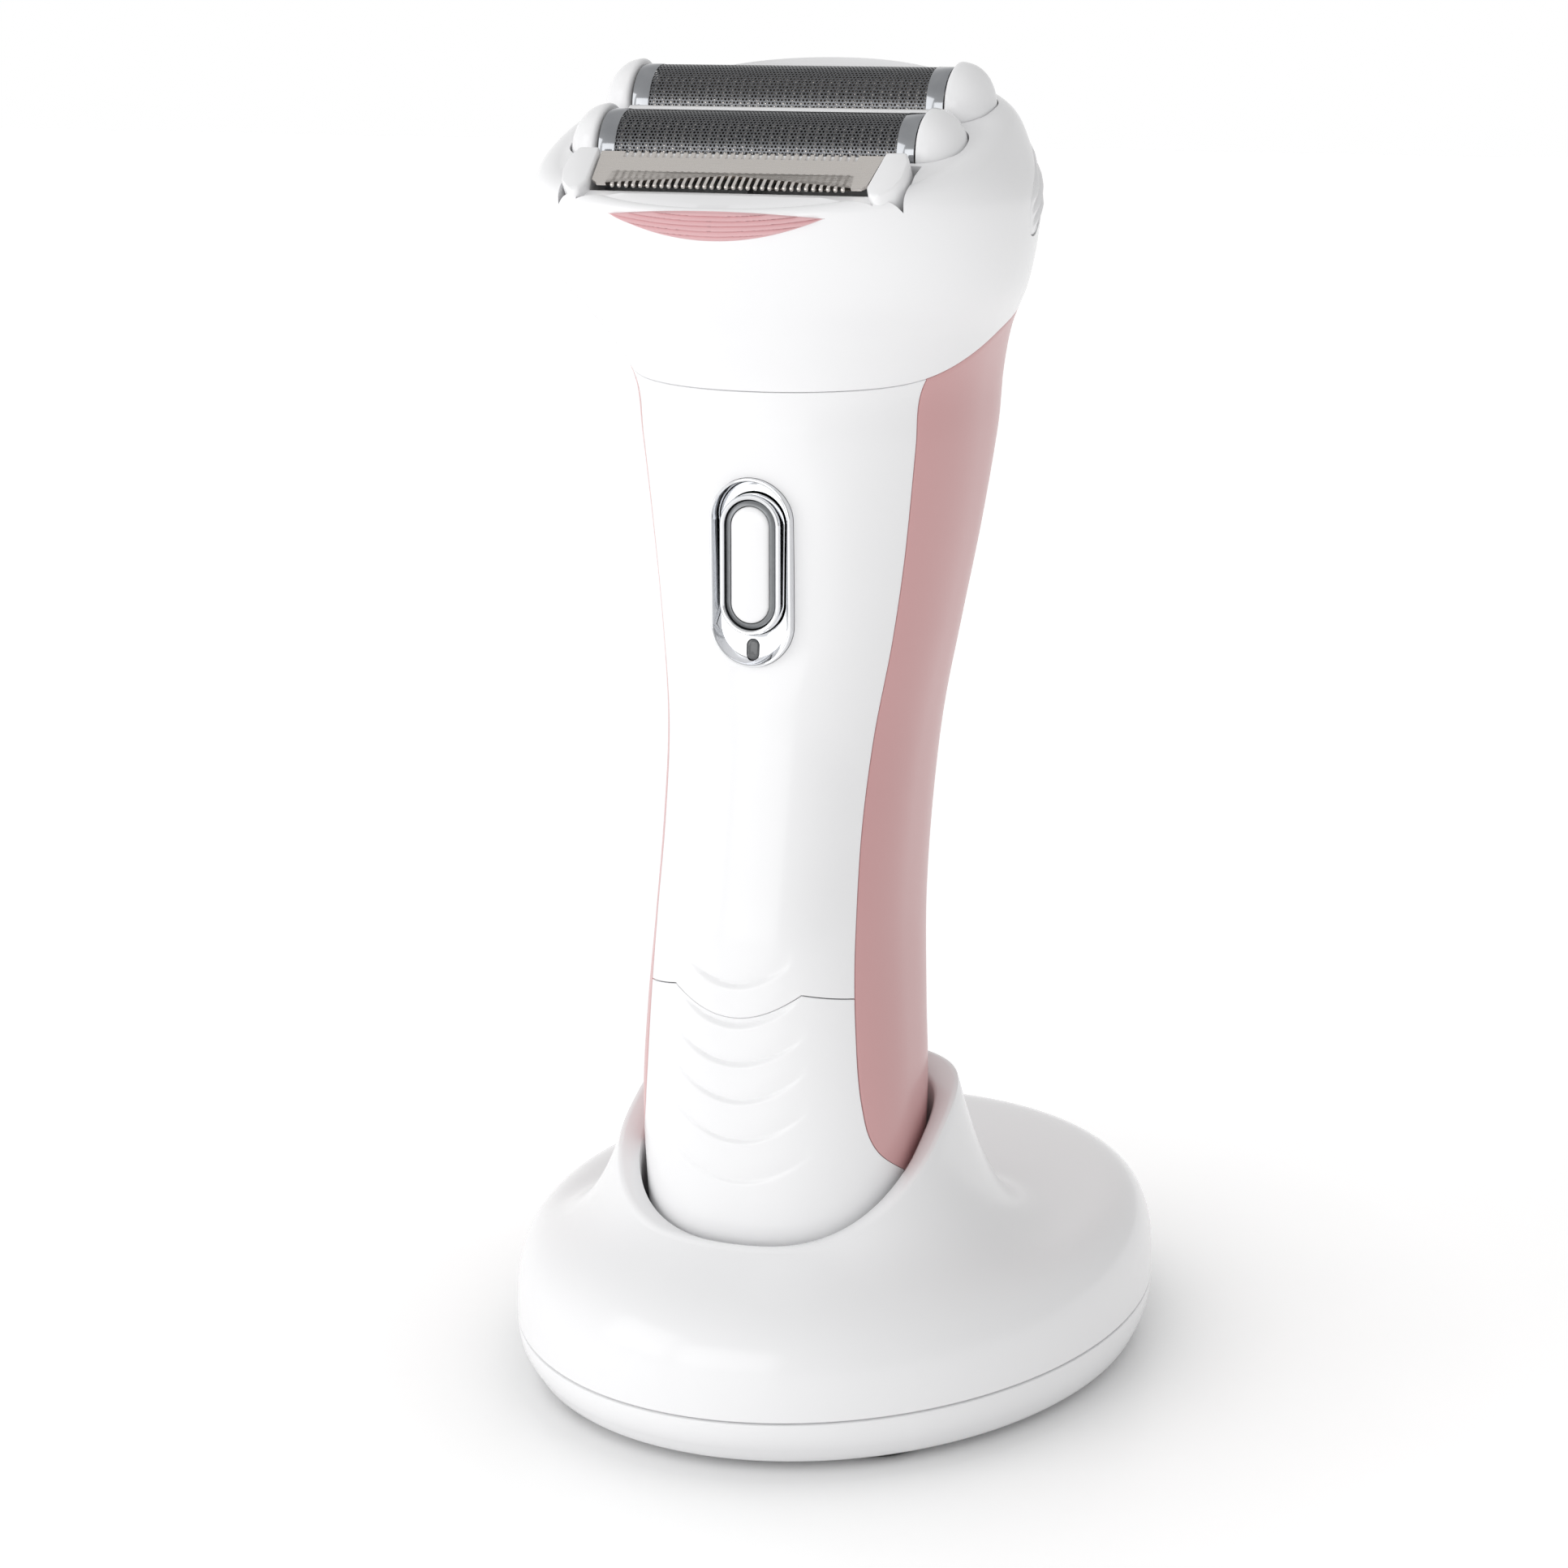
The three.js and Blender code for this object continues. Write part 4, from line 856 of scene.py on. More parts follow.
def bezel_rows():
    back = [Vector((p.x, BEZEL_BACK, p.z)) for p in bezel_ring(0, 0)]
    inner_back = [Vector((p.x, BEZEL_BACK, p.z)) for p in bezel_floor(1)]
    front = [bezel_ring(0, 0.3), bezel_ring(0.02, 0.02), bezel_ring(0.1, -0.08), bezel_ring(0.22, -0.1),
             bezel_ring(0.34, -0.04), bezel_ring(0.42, 0.1)]
    dish = [bezel_floor(0.0, -0.12), bezel_floor(0.06), bezel_floor(0.35), bezel_floor(0.7), bezel_floor(0.94),
            bezel_floor(1, 0.1)]
    return [inner_back, back] + front + dish + [inner_back]


lamp_cut = stadium_body("hole", [stadium(0.86, 97.85, 100.55, y, 48) for y in (-30, -40)], None)
bezel = merge_seams(skin("button_bezel_chromed", bezel_rows(), bright_chrome, crisp=30))
cut_away(bezel, [lamp_cut], crisp=30)
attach(bezel, "shaver")
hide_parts("button_bezel")

# Smoked polycarbonate is near black and glossy, a little lighter where the light passes.
smoked_polycarbonate = moulded_plastic("smoked polycarbonate", "#4A4C4E", "#555759", 0.12, 0.6, 0.0, coat=0.5)
lens_rows = []
for inset, behind in ((0, 2.6), (0, 0.1), (0.05, -0.02), (0.2, -0.1), (0.45, -0.14)):
    outline = stadium(0.8 - inset, 97.9 + inset, 100.5 - inset, 0, 48)
    lens_rows.append([Vector((p.x, body_front(p.z) + FLOOR_DEPTH(p.z) + behind, p.z)) for p in outline])
lamp_lens = stadium_body("charge_lamp_lens", lens_rows, smoked_polycarbonate)
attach(lamp_lens, "shaver")
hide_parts("charge_lens")


def button_rows(steps):
    """Stadium rings from (inset from the button's outline, y) pairs."""
    return [stadium(BUTTON_HALF - inset, BUTTON_BOTTOM + inset, BUTTON_TOP - inset, y) for inset, y in steps]


BUTTON_BACK = button_high.y
ring_steps = ((0.65, BUTTON_BACK), (0, BUTTON_BACK), (0, BUTTON_FACE + 0.35), (0.06, BUTTON_FACE + 0.12),
              (0.2, BUTTON_FACE), (0.42, BUTTON_FACE + 0.02), (0.6, BUTTON_FACE + 0.16),
              (0.65, BUTTON_FACE + 0.4), (0.65, BUTTON_BACK))
button_ring = merge_seams(skin("button_ring_chromed", button_rows(ring_steps), bright_chrome))
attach(button_ring, "power_button")
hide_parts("button_ring")

satin_grey_band = plated_metal("satin grey plating", "#8C8E90", "#808284", 0.34, (0.5, 0.5, 0.5))
trim_steps = ((1.45, BUTTON_BACK), (0.75, BUTTON_BACK), (0.75, BUTTON_FACE + 0.55), (0.85, BUTTON_FACE + 0.42),
              (1.38, BUTTON_FACE + 0.3), (1.45, BUTTON_FACE + 0.5), (1.45, BUTTON_BACK))
button_trim = merge_seams(skin("button_band", button_rows(trim_steps), satin_grey_band))
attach(button_trim, "power_button")
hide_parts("button_trim")

pad_steps = ((1.5, BUTTON_BACK + 1.0), (1.5, BUTTON_FACE + 0.35), (1.56, BUTTON_FACE + 0.18),
             (1.75, BUTTON_FACE + 0.04), (2.2, BUTTON_FACE - 0.08), (3.0, BUTTON_FACE - 0.16),
             (3.7, BUTTON_FACE - 0.19))
button_pad = stadium_body("button_pad_crowned", button_rows(pad_steps), polished_white_abs)
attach(button_pad, "power_button")
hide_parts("button_pad")

# ---- Head housing ----
# The flared head is one deep shell of polished white ABS. Its top is a sloping deck with a rounded rim,
# opened for the foils, their end caps and the trimmer; ovals at its sides take the release buttons.

HEAD_WALL = 2.0
HEAD_COLUMNS = 240
HEAD_ROWS = 56
DECK_FRONT = (-43.5, 154.4)
DECK_REAR = (-5.0, 168.3)
DECK_SLOPE = (DECK_REAR[1] - DECK_FRONT[1]) / (DECK_REAR[0] - DECK_FRONT[0])
FOIL_TILT = math.radians(25.3)
FOIL_ORIGIN = Vector((0, -23.6, 165.8))
FOIL_PITCH = 5.9
FOIL_RADIUS = 5.0
FOIL_END = 20.1
CAP_START = 20.35
CAP_REACH = 4.55
CAP_HALF = 5.55
CAP_CENTRE = -5.2
CAP_RISE = 5.74
CAP_DROP = 3.2
CAP_SQUARENESS = 2.3
TRIMMER_TILT = math.radians(35)
TRIMMER_ORIGIN = Vector((0, -38.3, 157.4))
RELEASE_CENTRE = (-13.0, 155.0)
RELEASE_LEAN = math.radians(31)
RELEASE_HALF = 3.2
RELEASE_STRAIGHT = 5.0


def deck_height(y):
    return DECK_FRONT[1] + (y - DECK_FRONT[0]) * DECK_SLOPE


def foil_frame(side=0):
    """Places millimetres set out on the skin plane: x across, y back up the slope, z out towards the skin."""
    slope = Matrix.Rotation(FOIL_TILT, 4, "X")
    return Matrix.Translation(FOIL_ORIGIN) @ slope @ Matrix.Translation((0, side * FOIL_PITCH, 0))


def trimmer_frame():
    return Matrix.Translation(TRIMMER_ORIGIN) @ Matrix.Rotation(TRIMMER_TILT, 4, "X")


def prism(name, outline, low, high, frame_matrix, material=None):
    """A closed body: an anticlockwise (x, y) outline raised from low to high in a tilted frame."""
    rows = [[frame_matrix @ Vector((x, y, z)) for x, y in outline] for z in (low, high)]
    return skin(name, rows, material, cap_first=True, cap_last=True)


def block(x, y):
    return [(x[0], y[0]), (x[1], y[0]), (x[1], y[1]), (x[0], y[1])]


def cap_outline(side, grow):
    """The end cap's half-oval footprint on the skin plane."""
    turns = [-math.pi / 2 + math.pi * i / 40 for i in range(41)]
    squareness = 2 / CAP_SQUARENESS
    outline = [(CAP_START - 0.3 + (CAP_REACH + 0.3 + grow) * math.cos(t) ** squareness,
                (CAP_HALF + grow) * math.copysign(abs(math.sin(t)) ** squareness, t)) for t in turns]
    outline += [(CAP_START - 2.0, CAP_HALF + grow), (CAP_START - 2.0, -CAP_HALF - grow)]
    return outline if side > 0 else [(-x, y) for x, y in reversed(outline)]


def release_outline(grow, count=96):
    """(y, z) points round a release button's slanted oval, anticlockwise seen from +X."""
    points = []
    for i in range(count):
        turn = 2 * math.pi * (i + 0.5) / count
        along = (RELEASE_HALF + grow) * math.cos(turn) + math.copysign(RELEASE_STRAIGHT, math.cos(turn))
        across = (RELEASE_HALF + grow) * math.sin(turn)
        points.append((RELEASE_CENTRE[0] + along * math.cos(RELEASE_LEAN) - across * math.sin(RELEASE_LEAN),
                       RELEASE_CENTRE[1] + along * math.sin(RELEASE_LEAN) + across * math.cos(RELEASE_LEAN)))
    return points


def head_form(grow, drop, below):
    """The head's closed form, for its outside and, grown inwards and lowered, for its hollow."""
    angles = [2 * math.pi * i / HEAD_COLUMNS for i in range(HEAD_COLUMNS)]
    lows = [neck_height(lambda z, a=a: a, 0.0) - below for a in angles]
    tops = []
    for angle in angles:
        z = 158.0
        for _ in range(24):
            z = (z + deck_height(body_point(z, angle, grow).y) - drop) / 2
        tops.append(z)
    radii = [0.7 + 1.5 * abs(math.cos(a)) for a in angles]
    edge = [body_point(low, a, grow) for low, a in zip(lows, angles)]
    rows = [[Vector((p.x * size, -12 + (p.y + 12) * size, p.z)) for p in edge] for size in (0.2, 0.5, 0.8)]
    for row in range(HEAD_ROWS + 1):
        share = row / HEAD_ROWS
        rows.append([body_point(low + (top - radius - low) * share, a, grow)
                     for low, top, radius, a in zip(lows, tops, radii, angles)])
    for step in range(1, 8):
        turn = math.pi / 2 * step / 7
        rows.append([body_point(top - radius + radius * math.sin(turn), a, grow - radius * (1 - math.cos(turn)))
                     for top, radius, a in zip(tops, radii, angles)])
    rim = rows[-1]
    for size in (0.97, 0.8, 0.5, 0.2):
        row = [Vector((p.x * size, -24 + (p.y + 24) * size, 0)) for p in rim]
        rows.append([Vector((p.x, p.y, deck_height(p.y) - drop)) for p in row])
    return skin("head_housing_moulding", rows, polished_white_abs, cap_first=True, cap_last=True)


def side_prism(outline, near, far):
    """A closed body: a (y, z) outline run along X."""
    rows = [[Vector((x, y, z)) for y, z in outline] for x in (near, far)]
    return skin("hole", rows, None, cap_first=True, cap_last=True)


head = head_form(0.0, 0.0, 0.0)
foil_window = block((-21.0, 21.0), (-FOIL_PITCH - 5.5, FOIL_PITCH + 5.5))
openings = [head_form(-HEAD_WALL, HEAD_WALL, 2.0),
            prism("hole", foil_window, -9, 20, foil_frame()),
            prism("hole", block((-18.6, 18.6), (-5.1, 4.2)), -8, 20, trimmer_frame()),
            prism("hole", block((-21.7, 21.7), (-4.0, 4.2)), -8, 20, trimmer_frame())]
openings += [prism("hole", cap_outline(end, 0.14), -9, 20, foil_frame(side))
             for side in (-1, 1) for end in (-1, 1)]
openings += [side_prism(release_outline(0.2), near, far) for near, far in ((18, 40), (-40, -18))]
cut_away(head, openings, crisp=32)
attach(head, "head")
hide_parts("head_housing")

# ---- Release buttons ----
# Two slanted oval buttons of the same white ABS, flush with the head's sides, with three long finger ridges
# that fade out towards the back.

RIDGES = (-1.75, 0.0, 1.75)
RIDGE_RISE = 0.55
RELEASE_RINGS = 26
RELEASE_TURNS = 120


def ridge_height(along, across):
    """Each ridge is a slope that climbs slowly and drops sharply, fading towards the button's back."""
    end = RELEASE_STRAIGHT + RELEASE_HALF
    fade = max(0.0, min(1.0, (0.72 * end - along) / (0.8 * end)))
    fade *= max(0.0, min(1.0, (along + 0.9 * end) / 2.2))
    edge = max(0.0, min(1.0, (RELEASE_HALF - abs(across)) / 0.5))
    rise = 0.0
    for middle in RIDGES:
        position = (across - middle + 0.8) / 1.6
        if 0 <= position <= 1:
            climb = position / 0.78 if position < 0.78 else (1 - position) / 0.22
            rise = max(rise, climb)
    return RIDGE_RISE * rise * fade * edge - 0.18 * fade * edge


def release_rows(side):
    rows = []
    for ring_number in range(RELEASE_RINGS):
        scale = 1 - ring_number / RELEASE_RINGS
        row = []
        for i in range(RELEASE_TURNS):
            turn = 2 * math.pi * (i + 0.5) / RELEASE_TURNS
            along = scale * (RELEASE_HALF * math.cos(turn) + math.copysign(RELEASE_STRAIGHT, math.cos(turn)))
            across = scale * RELEASE_HALF * math.sin(turn)
            y = RELEASE_CENTRE[0] + along * math.cos(RELEASE_LEAN) - across * math.sin(RELEASE_LEAN)
            z = RELEASE_CENTRE[1] + along * math.sin(RELEASE_LEAN) + across * math.cos(RELEASE_LEAN)
            rounded = 0.12 if ring_number == 0 else 0.0
            x = side_x(y, z) + ridge_height(along, across) - rounded
            row.append(Vector((side * x, y, z)))
        rows.append(row)
    edge = rows[0]
    wall = [[p - Vector((side * depth, 0, 0)) for p in edge] for depth in (2.4, 0.2)]
    rows = wall + rows
    return rows if side > 0 else [list(reversed(row)) for row in rows]


for side, word in ((-1, "left"), (1, "right")):
    release = skin(f"release_button_ridged_{word}", release_rows(side), polished_white_abs, cap_first=True,
                   cap_last=True, crisp=45)
    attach(release, f"release_{word}")
    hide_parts(f"release_button_{word}")

# ---- Lotion strip ----
# A crescent of soft pink plastic let into the head's front below the trimmer, moulded in six shallow steps.

soft_pink_strip = moulded_plastic("soft pink thermoplastic", "#DDB2B5", "#D8ABAE", 0.4, 0.5, 0.002)
STRIP_HALF = 13.6
STRIP_BOTTOM = 149.6
STRIP_TOP = 152.4
STRIP_STEPS = 6
STRIP_RISE = 0.34


def strip_rows():
    across_count, up_count = 110, 72
    front, back = [], []
    for row in range(up_count + 1):
        share = row / up_count
        line, behind = [], []
        for i in range(across_count + 1):
            u = 0.995 * (-1 + 2 * i / across_count)
            low = STRIP_BOTTOM + 2.9 * u * u
            high = STRIP_TOP + 0.7 * (1 - u * u)
            z = low + (high - low) * share
            band = (z - STRIP_BOTTOM - 1.2 * u * u) / (STRIP_TOP + 0.7 - STRIP_BOTTOM) * STRIP_STEPS
            edge = min(1.0, share * 14, (1 - share) * 14)
            proud = (0.08 + STRIP_RISE * (1 - band % 1.0) ** 0.8) * edge * min(1.0, (1 - abs(u)) * 12)
            line.append(Vector((STRIP_HALF * u, front_y(STRIP_HALF * u, z, proud), z)))
            behind.append(Vector((STRIP_HALF * u, front_y(STRIP_HALF * u, z, -0.5), z)))
        front.append(line)
        back.append(behind)
    return [line + behind[::-1] for line, behind in zip(front, back)]


strip = skin("lotion_strip_stepped", strip_rows(), soft_pink_strip, cap_first=True, cap_last=True, crisp=30)
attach(strip, "head")
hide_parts("lotion_strip")

# ---- Foil frames ----
# Each foil sits in a white moulded frame: two thin rails under the foil and a smooth quarter-dome cap at each
# end.


def cap_rows(end):
    rows = []
    steps = ((0.0, 0.93), (0.015, 0.965), (0.05, 0.99), (0.1, 1.0))
    shares = (0.2, 0.32, 0.44, 0.56, 0.67, 0.77, 0.86, 0.93, 0.975, 0.996)
    steps += tuple((s, (1 - s ** CAP_SQUARENESS) ** (1 / CAP_SQUARENESS)) for s in shares)
    for along, size in steps:
        row = []
        for i in range(72):
            turn = 2 * math.pi * i / 72
            rise = CAP_RISE if math.sin(turn) > 0 else CAP_DROP
            squareness = 2 / 2.25
            across = CAP_HALF * size * math.copysign(abs(math.cos(turn)) ** squareness, math.cos(turn))
            up = CAP_CENTRE + rise * size * math.copysign(abs(math.sin(turn)) ** squareness, math.sin(turn))
            row.append(Vector((end * (CAP_START + CAP_REACH * along), across, up)))
        rows.append(row if end > 0 else list(reversed(row)))
    return rows


def weld_bodies(piece, others, crisp=40):
    """Joins closed bodies into one closed piece."""
    for other in others:
        joint = piece.modifiers.new("joint", "BOOLEAN")
        joint.operation = "UNION"
        joint.solver = "EXACT"
        joint.object = other
    settle(piece, crisp)
    for other in others:
        bpy.data.objects.remove(other)
    return piece


for side, word in ((-1, "front"), (1, "rear")):
    caps = []
    for end in (-1, 1):
        rows = [[foil_frame(side) @ p for p in row] for row in cap_rows(end)]
        caps.append(skin("cap", rows, polished_white_abs, cap_first=True, cap_last=True))
    rails = [prism("rail", block((-21.0, 21.0), y), -8.2, -5.6, foil_frame(side), polished_white_abs)
             for y in ((-5.35, -4.7), (4.7, 5.35))]
    holder = weld_bodies(caps[0], [caps[1]] + rails, crisp=35)
    holder.name = holder.data.name = f"{word}_foil_holder"
    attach(holder, f"{word}_foil")
    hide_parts(f"{word}_foil_frame")

# ---- Foils ----
# Each foil is a thin sheet of nickel, electroformed full of small slotted holes and bent to an arch. Its
# plain ends are covered by bright bands. The real holes are about half a millimetre apart; they are set at
# the same spacing.

dark_nickel_foil = plated_metal("electroformed nickel foil", "#808183", "#4E5053", 0.24, (0.3, 0.3, 0.3), 0.02)
polished_nickel = plated_metal("polished nickel band", "#AEB0B3", "#94969A", 0.1, (3.0, 3.0, 3.0))
FOIL_SHEET = 0.1
FOIL_MESH_HALF = 18.0
FOIL_SIZES = {"Hole Pitch": 0.46 * MM, "Row Pitch": 0.40 * MM, "Holes Across": 78, "Rows": 38,
              "Hole Radius": 0.17 * MM, "Arch Radius": FOIL_RADIUS * MM}


def foil_cell_corners(radius_x, radius_y):
    turns = [math.pi / 6 + math.pi / 3 * k for k in range(6)]
    return [(radius_x * math.cos(t), radius_y * math.sin(t)) for t in turns]


def foil_cell():
    """One cell of the sheet: a six-sided rim of metal round its hole, flat, centred on the origin."""
    outer = foil_cell_corners(FOIL_SIZES["Hole Pitch"] / math.sqrt(3), FOIL_SIZES["Row Pitch"] / 1.5)
    inner = foil_cell_corners(FOIL_SIZES["Hole Radius"], FOIL_SIZES["Hole Radius"] * 0.9)
    points = [Vector((x, y, 0)) / MM for x, y in outer + inner]
    faces = [(k, (k + 1) % 6, 6 + (k + 1) % 6, 6 + k) for k in range(6)]
    return points, faces


def arch_points(tree, given, last, output):
    """Bends flat geometry round the arch: its y becomes the arc's length from the crown."""
    radius = (given, "Arch Radius")
    place = add_node(tree, "GeometryNodeInputPosition")
    apart = add_node(tree, "ShaderNodeSeparateXYZ", links=[("Vector", place, "Position")])
    turn = maths(tree, "DIVIDE", (apart, "Y"), radius)
    y = maths(tree, "MULTIPLY", maths(tree, "SINE", turn), radius)
    z = maths(tree, "MULTIPLY", maths(tree, "SUBTRACT", maths(tree, "COSINE", turn), 1.0), radius)
    bent = add_node(tree, "ShaderNodeCombineXYZ", links=[("X", apart, "X"), ("Y", *y), ("Z", *z)])
    return add_node(tree, "GeometryNodeSetPosition",
                    links=[("Geometry", last, output), ("Position", bent, "Vector")])


def foil_tree():
    tree = named_tree("perforated foil", FOIL_SIZES)
    given = add_node(tree, "NodeGroupInput")
    gaps = maths(tree, "SUBTRACT", (given, "Holes Across"), 1.0)
    width = maths(tree, "MULTIPLY", gaps, (given, "Hole Pitch"))
    depth = maths(tree, "MULTIPLY", maths(tree, "SUBTRACT", (given, "Rows"), 1.0), (given, "Row Pitch"))
    grid = add_node(tree, "GeometryNodeMeshGrid",
                    links=[("Size X", *width), ("Size Y", *depth),
                           ("Vertices X", given, "Holes Across"), ("Vertices Y", given, "Rows")])
    index = add_node(tree, "GeometryNodeInputIndex")
    odd = maths(tree, "MODULO", maths(tree, "MODULO", (index, "Index"), (given, "Rows")), 2.0)
    shift = maths(tree, "MULTIPLY", odd, maths(tree, "MULTIPLY", (given, "Hole Pitch"), 0.5))
    offset = add_node(tree, "ShaderNodeCombineXYZ", links=[("X", *shift)])
    staggered = add_node(tree, "GeometryNodeSetPosition",
                         links=[("Geometry", grid, "Mesh"), ("Offset", offset, "Vector")])
    cells = add_node(tree, "GeometryNodeInstanceOnPoints",
                     links=[("Points", staggered, "Geometry"), ("Instance", given, "Geometry")])
    real = add_node(tree, "GeometryNodeRealizeInstances", links=[("Geometry", cells, "Instances")])
    welded = add_node(tree, "GeometryNodeMergeByDistance", inputs={"Distance": 0.02 * MM},
                      links=[("Geometry", real, "Geometry")])
    close_tree(tree, arch_points(tree, given, welded, "Geometry"), "Geometry", dark_nickel_foil)
    return tree


def place_mesh(piece, millimetre_frame):
    """Moves a mesh made at the origin in metres into a frame set out in millimetres."""
    moved = millimetre_frame.copy()
    moved.translation = moved.translation * MM
    piece.data.transform(moved)
    return piece


def band_rows(end):
    rows = []
    for x in (FOIL_MESH_HALF - 0.1, FOIL_MESH_HALF, FOIL_END - 0.05, FOIL_END):
        edge = 0.06 if x in (FOIL_MESH_HALF - 0.1, FOIL_END) else 0.0
        radius = FOIL_RADIUS + 0.06 - edge
        turns = [math.pi * i / 64 for i in range(65)]
        rows.append([Vector((end * x, radius * math.cos(t), radius * math.sin(t) - FOIL_RADIUS))
                     for t in turns])
    return rows if end > 0 else [list(reversed(row)) for row in rows]


perforated = foil_tree()
for side, word in ((-1, "front"), (1, "rear")):
    foil = make_piece(f"{word}_foil_perforated", *foil_cell(), dark_nickel_foil)
    run_tree(foil, perforated, FOIL_SIZES, crisp=60)
    sheet = foil.modifiers.new("sheet", "SOLIDIFY")
    sheet.thickness = FOIL_SHEET * MM
    sheet.offset = -1
    settle(foil, crisp=60)
    place_mesh(foil, foil_frame(side))
    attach(foil, f"{word}_foil")
    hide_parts(f"{word}_foil")
    for end, end_word in ((-1, "left"), (1, "right")):
        rows = [[foil_frame(side) @ p for p in row] for row in band_rows(end)]
        band = skin(f"{word}_foil_band_{end_word}", rows, polished_nickel, closed=False)
        give_wall(band, 0.14, 0.02)
        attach(band, f"{word}_foil")
        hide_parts(f"{word}_foil")

# ---- Inner cutters ----
# Under each foil a stack of thin stainless blades, stamped as half discs and pressed on a grey carrier,
# sweeps from side to side.

brushed_stainless = plated_metal("brushed stainless steel", "#E6E1DC", "#D3CEC9", 0.27, (4.0, 0.06, 0.06),
                                 0.004)
CUTTER_SIZES = {"Blade Count": 32, "Blade Pitch": 1.13 * MM, "Blade Thickness": 0.32 * MM,
                "Carrier Length": 36 * MM, "Carrier Width": 4.8 * MM, "Carrier Height": 4.6 * MM}


def row_of_points(tree, given, count, pitch, y=0.0):
    """A row of points along X, centred, at a fixed distance y from the middle."""
    span = maths(tree, "MULTIPLY", maths(tree, "SUBTRACT", (given, count), 1.0), (given, pitch))
    first = add_node(tree, "ShaderNodeCombineXYZ", inputs={"Y": y * MM},
                     links=[("X", *maths(tree, "MULTIPLY", span, -0.5))])
    step = add_node(tree, "ShaderNodeCombineXYZ", links=[("X", given, pitch)])
    return add_node(tree, "GeometryNodeMeshLine", {"mode": "OFFSET"},
                    links=[("Count", given, count), ("Start Location", first, "Vector"),
                           ("Offset", step, "Vector")])


def cutter_tree():
    tree = named_tree("cutter stack", CUTTER_SIZES)
    given = add_node(tree, "NodeGroupInput")
    places = row_of_points(tree, given, "Blade Count", "Blade Pitch")
    blade = add_node(tree, "GeometryNodeExtrudeMesh", {"mode": "FACES"}, inputs={"Individual": False},
                     links=[("Mesh", given, "Geometry"), ("Offset Scale", given, "Blade Thickness")])
    back_face = add_node(tree, "GeometryNodeFlipFaces", links=[("Mesh", given, "Geometry")])
    welded = add_node(tree, "GeometryNodeMergeByDistance", inputs={"Distance": 0.005 * MM},
                      links=[("Geometry", joined(tree, (blade, "Mesh"), (back_face, "Mesh")), "Geometry")])
    stack = add_node(tree, "GeometryNodeInstanceOnPoints",
                     links=[("Points", places, "Mesh"), ("Instance", welded, "Geometry")])
    size = scaled_vector(tree, given, ("Carrier Length", "Carrier Width", "Carrier Height"))
    carrier = add_node(tree, "GeometryNodeMeshCube", links=[("Size", size, "Vector")])
    lowered = add_node(tree, "GeometryNodeTransform", inputs={"Translation": (0, 0, -7.3 * MM)},
                       links=[("Geometry", carrier, "Mesh")])
    both = joined(tree, (stack, "Instances"), (lowered, "Geometry"))
    close_tree(tree, both, "Geometry", brushed_stainless)
    return tree


def blade_outline():
    """A half disc that runs 0.35 mm under the foil, with a waist where it grips the carrier."""
    radius = FOIL_RADIUS - FOIL_SHEET - 0.4
    arc = [Vector((0, radius * math.cos(math.pi * i / 24), radius * math.sin(math.pi * i / 24) - FOIL_RADIUS))
           for i in range(25)]
    foot = [Vector((0, -2.2, -5.6)), Vector((0, 2.2, -5.6))]
    return arc + foot, [tuple(range(27))]


stack_tree = cutter_tree()
for side, word in ((-1, "front"), (1, "rear")):
    cutter = make_piece(f"{word}_cutter_blades", *blade_outline(), brushed_stainless)
    run_tree(cutter, stack_tree, CUTTER_SIZES, crisp=30)
    place_mesh(cutter, foil_frame(side))
    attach(cutter, f"{word}_cutter")
    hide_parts(f"{word}_cutter")

# ---- Foil divider ----
# A slim white bar of ABS stands between the two foils, broadened to a rounded bead along its top.

divider_half = ((0.3, -8.8), (0.3, -4.6), (0.42, -3.6), (0.8, -2.9), (0.86, -2.55), (0.62, -2.25),
                (0.25, -2.12))
divider_profile = ((-0.3, -8.8),) + divider_half + tuple((-x, up) for x, up in divider_half[:0:-1])
divider_steps = ((-20, 0.9), (-19.8, 1.0), (-10, 1.0), (0, 1.0), (10, 1.0), (19.8, 1.0), (20, 0.9))
divider_rows = [[foil_frame() @ Vector((x, across * size, -5 + (up + 5) * size))
                 for across, up in divider_profile] for x, size in divider_steps]
divider = skin("foil_divider_bead", divider_rows, polished_white_abs, cap_first=True, cap_last=True, crisp=50)
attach(divider, "head")
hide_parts("foil_divider")

# ---- Trimmer ----
# In front of the foils a long-hair trimmer: a brushed steel comb with slots along its back edge and ball-
# tipped teeth along its front, a toothed blade that slides under it, and a white frame with a rounded cheek
# at each end.

COMB_THICKNESS = 0.45
COMB_SIZES = {"Tooth Count": 33, "Tooth Pitch": 0.905 * MM, "Tooth Width": 0.4 * MM, "Tooth Length": 2.5 * MM,
              "Ball Radius": 0.3 * MM, "Thickness": COMB_THICKNESS * MM, "Slot Count": 30,
              "Slot Pitch": 1.0 * MM, "Slot Width": 0.5 * MM, "Slot Length": 1.15 * MM}
COMB_TEETH_FROM = -0.65
COMB_BACK = 3.1


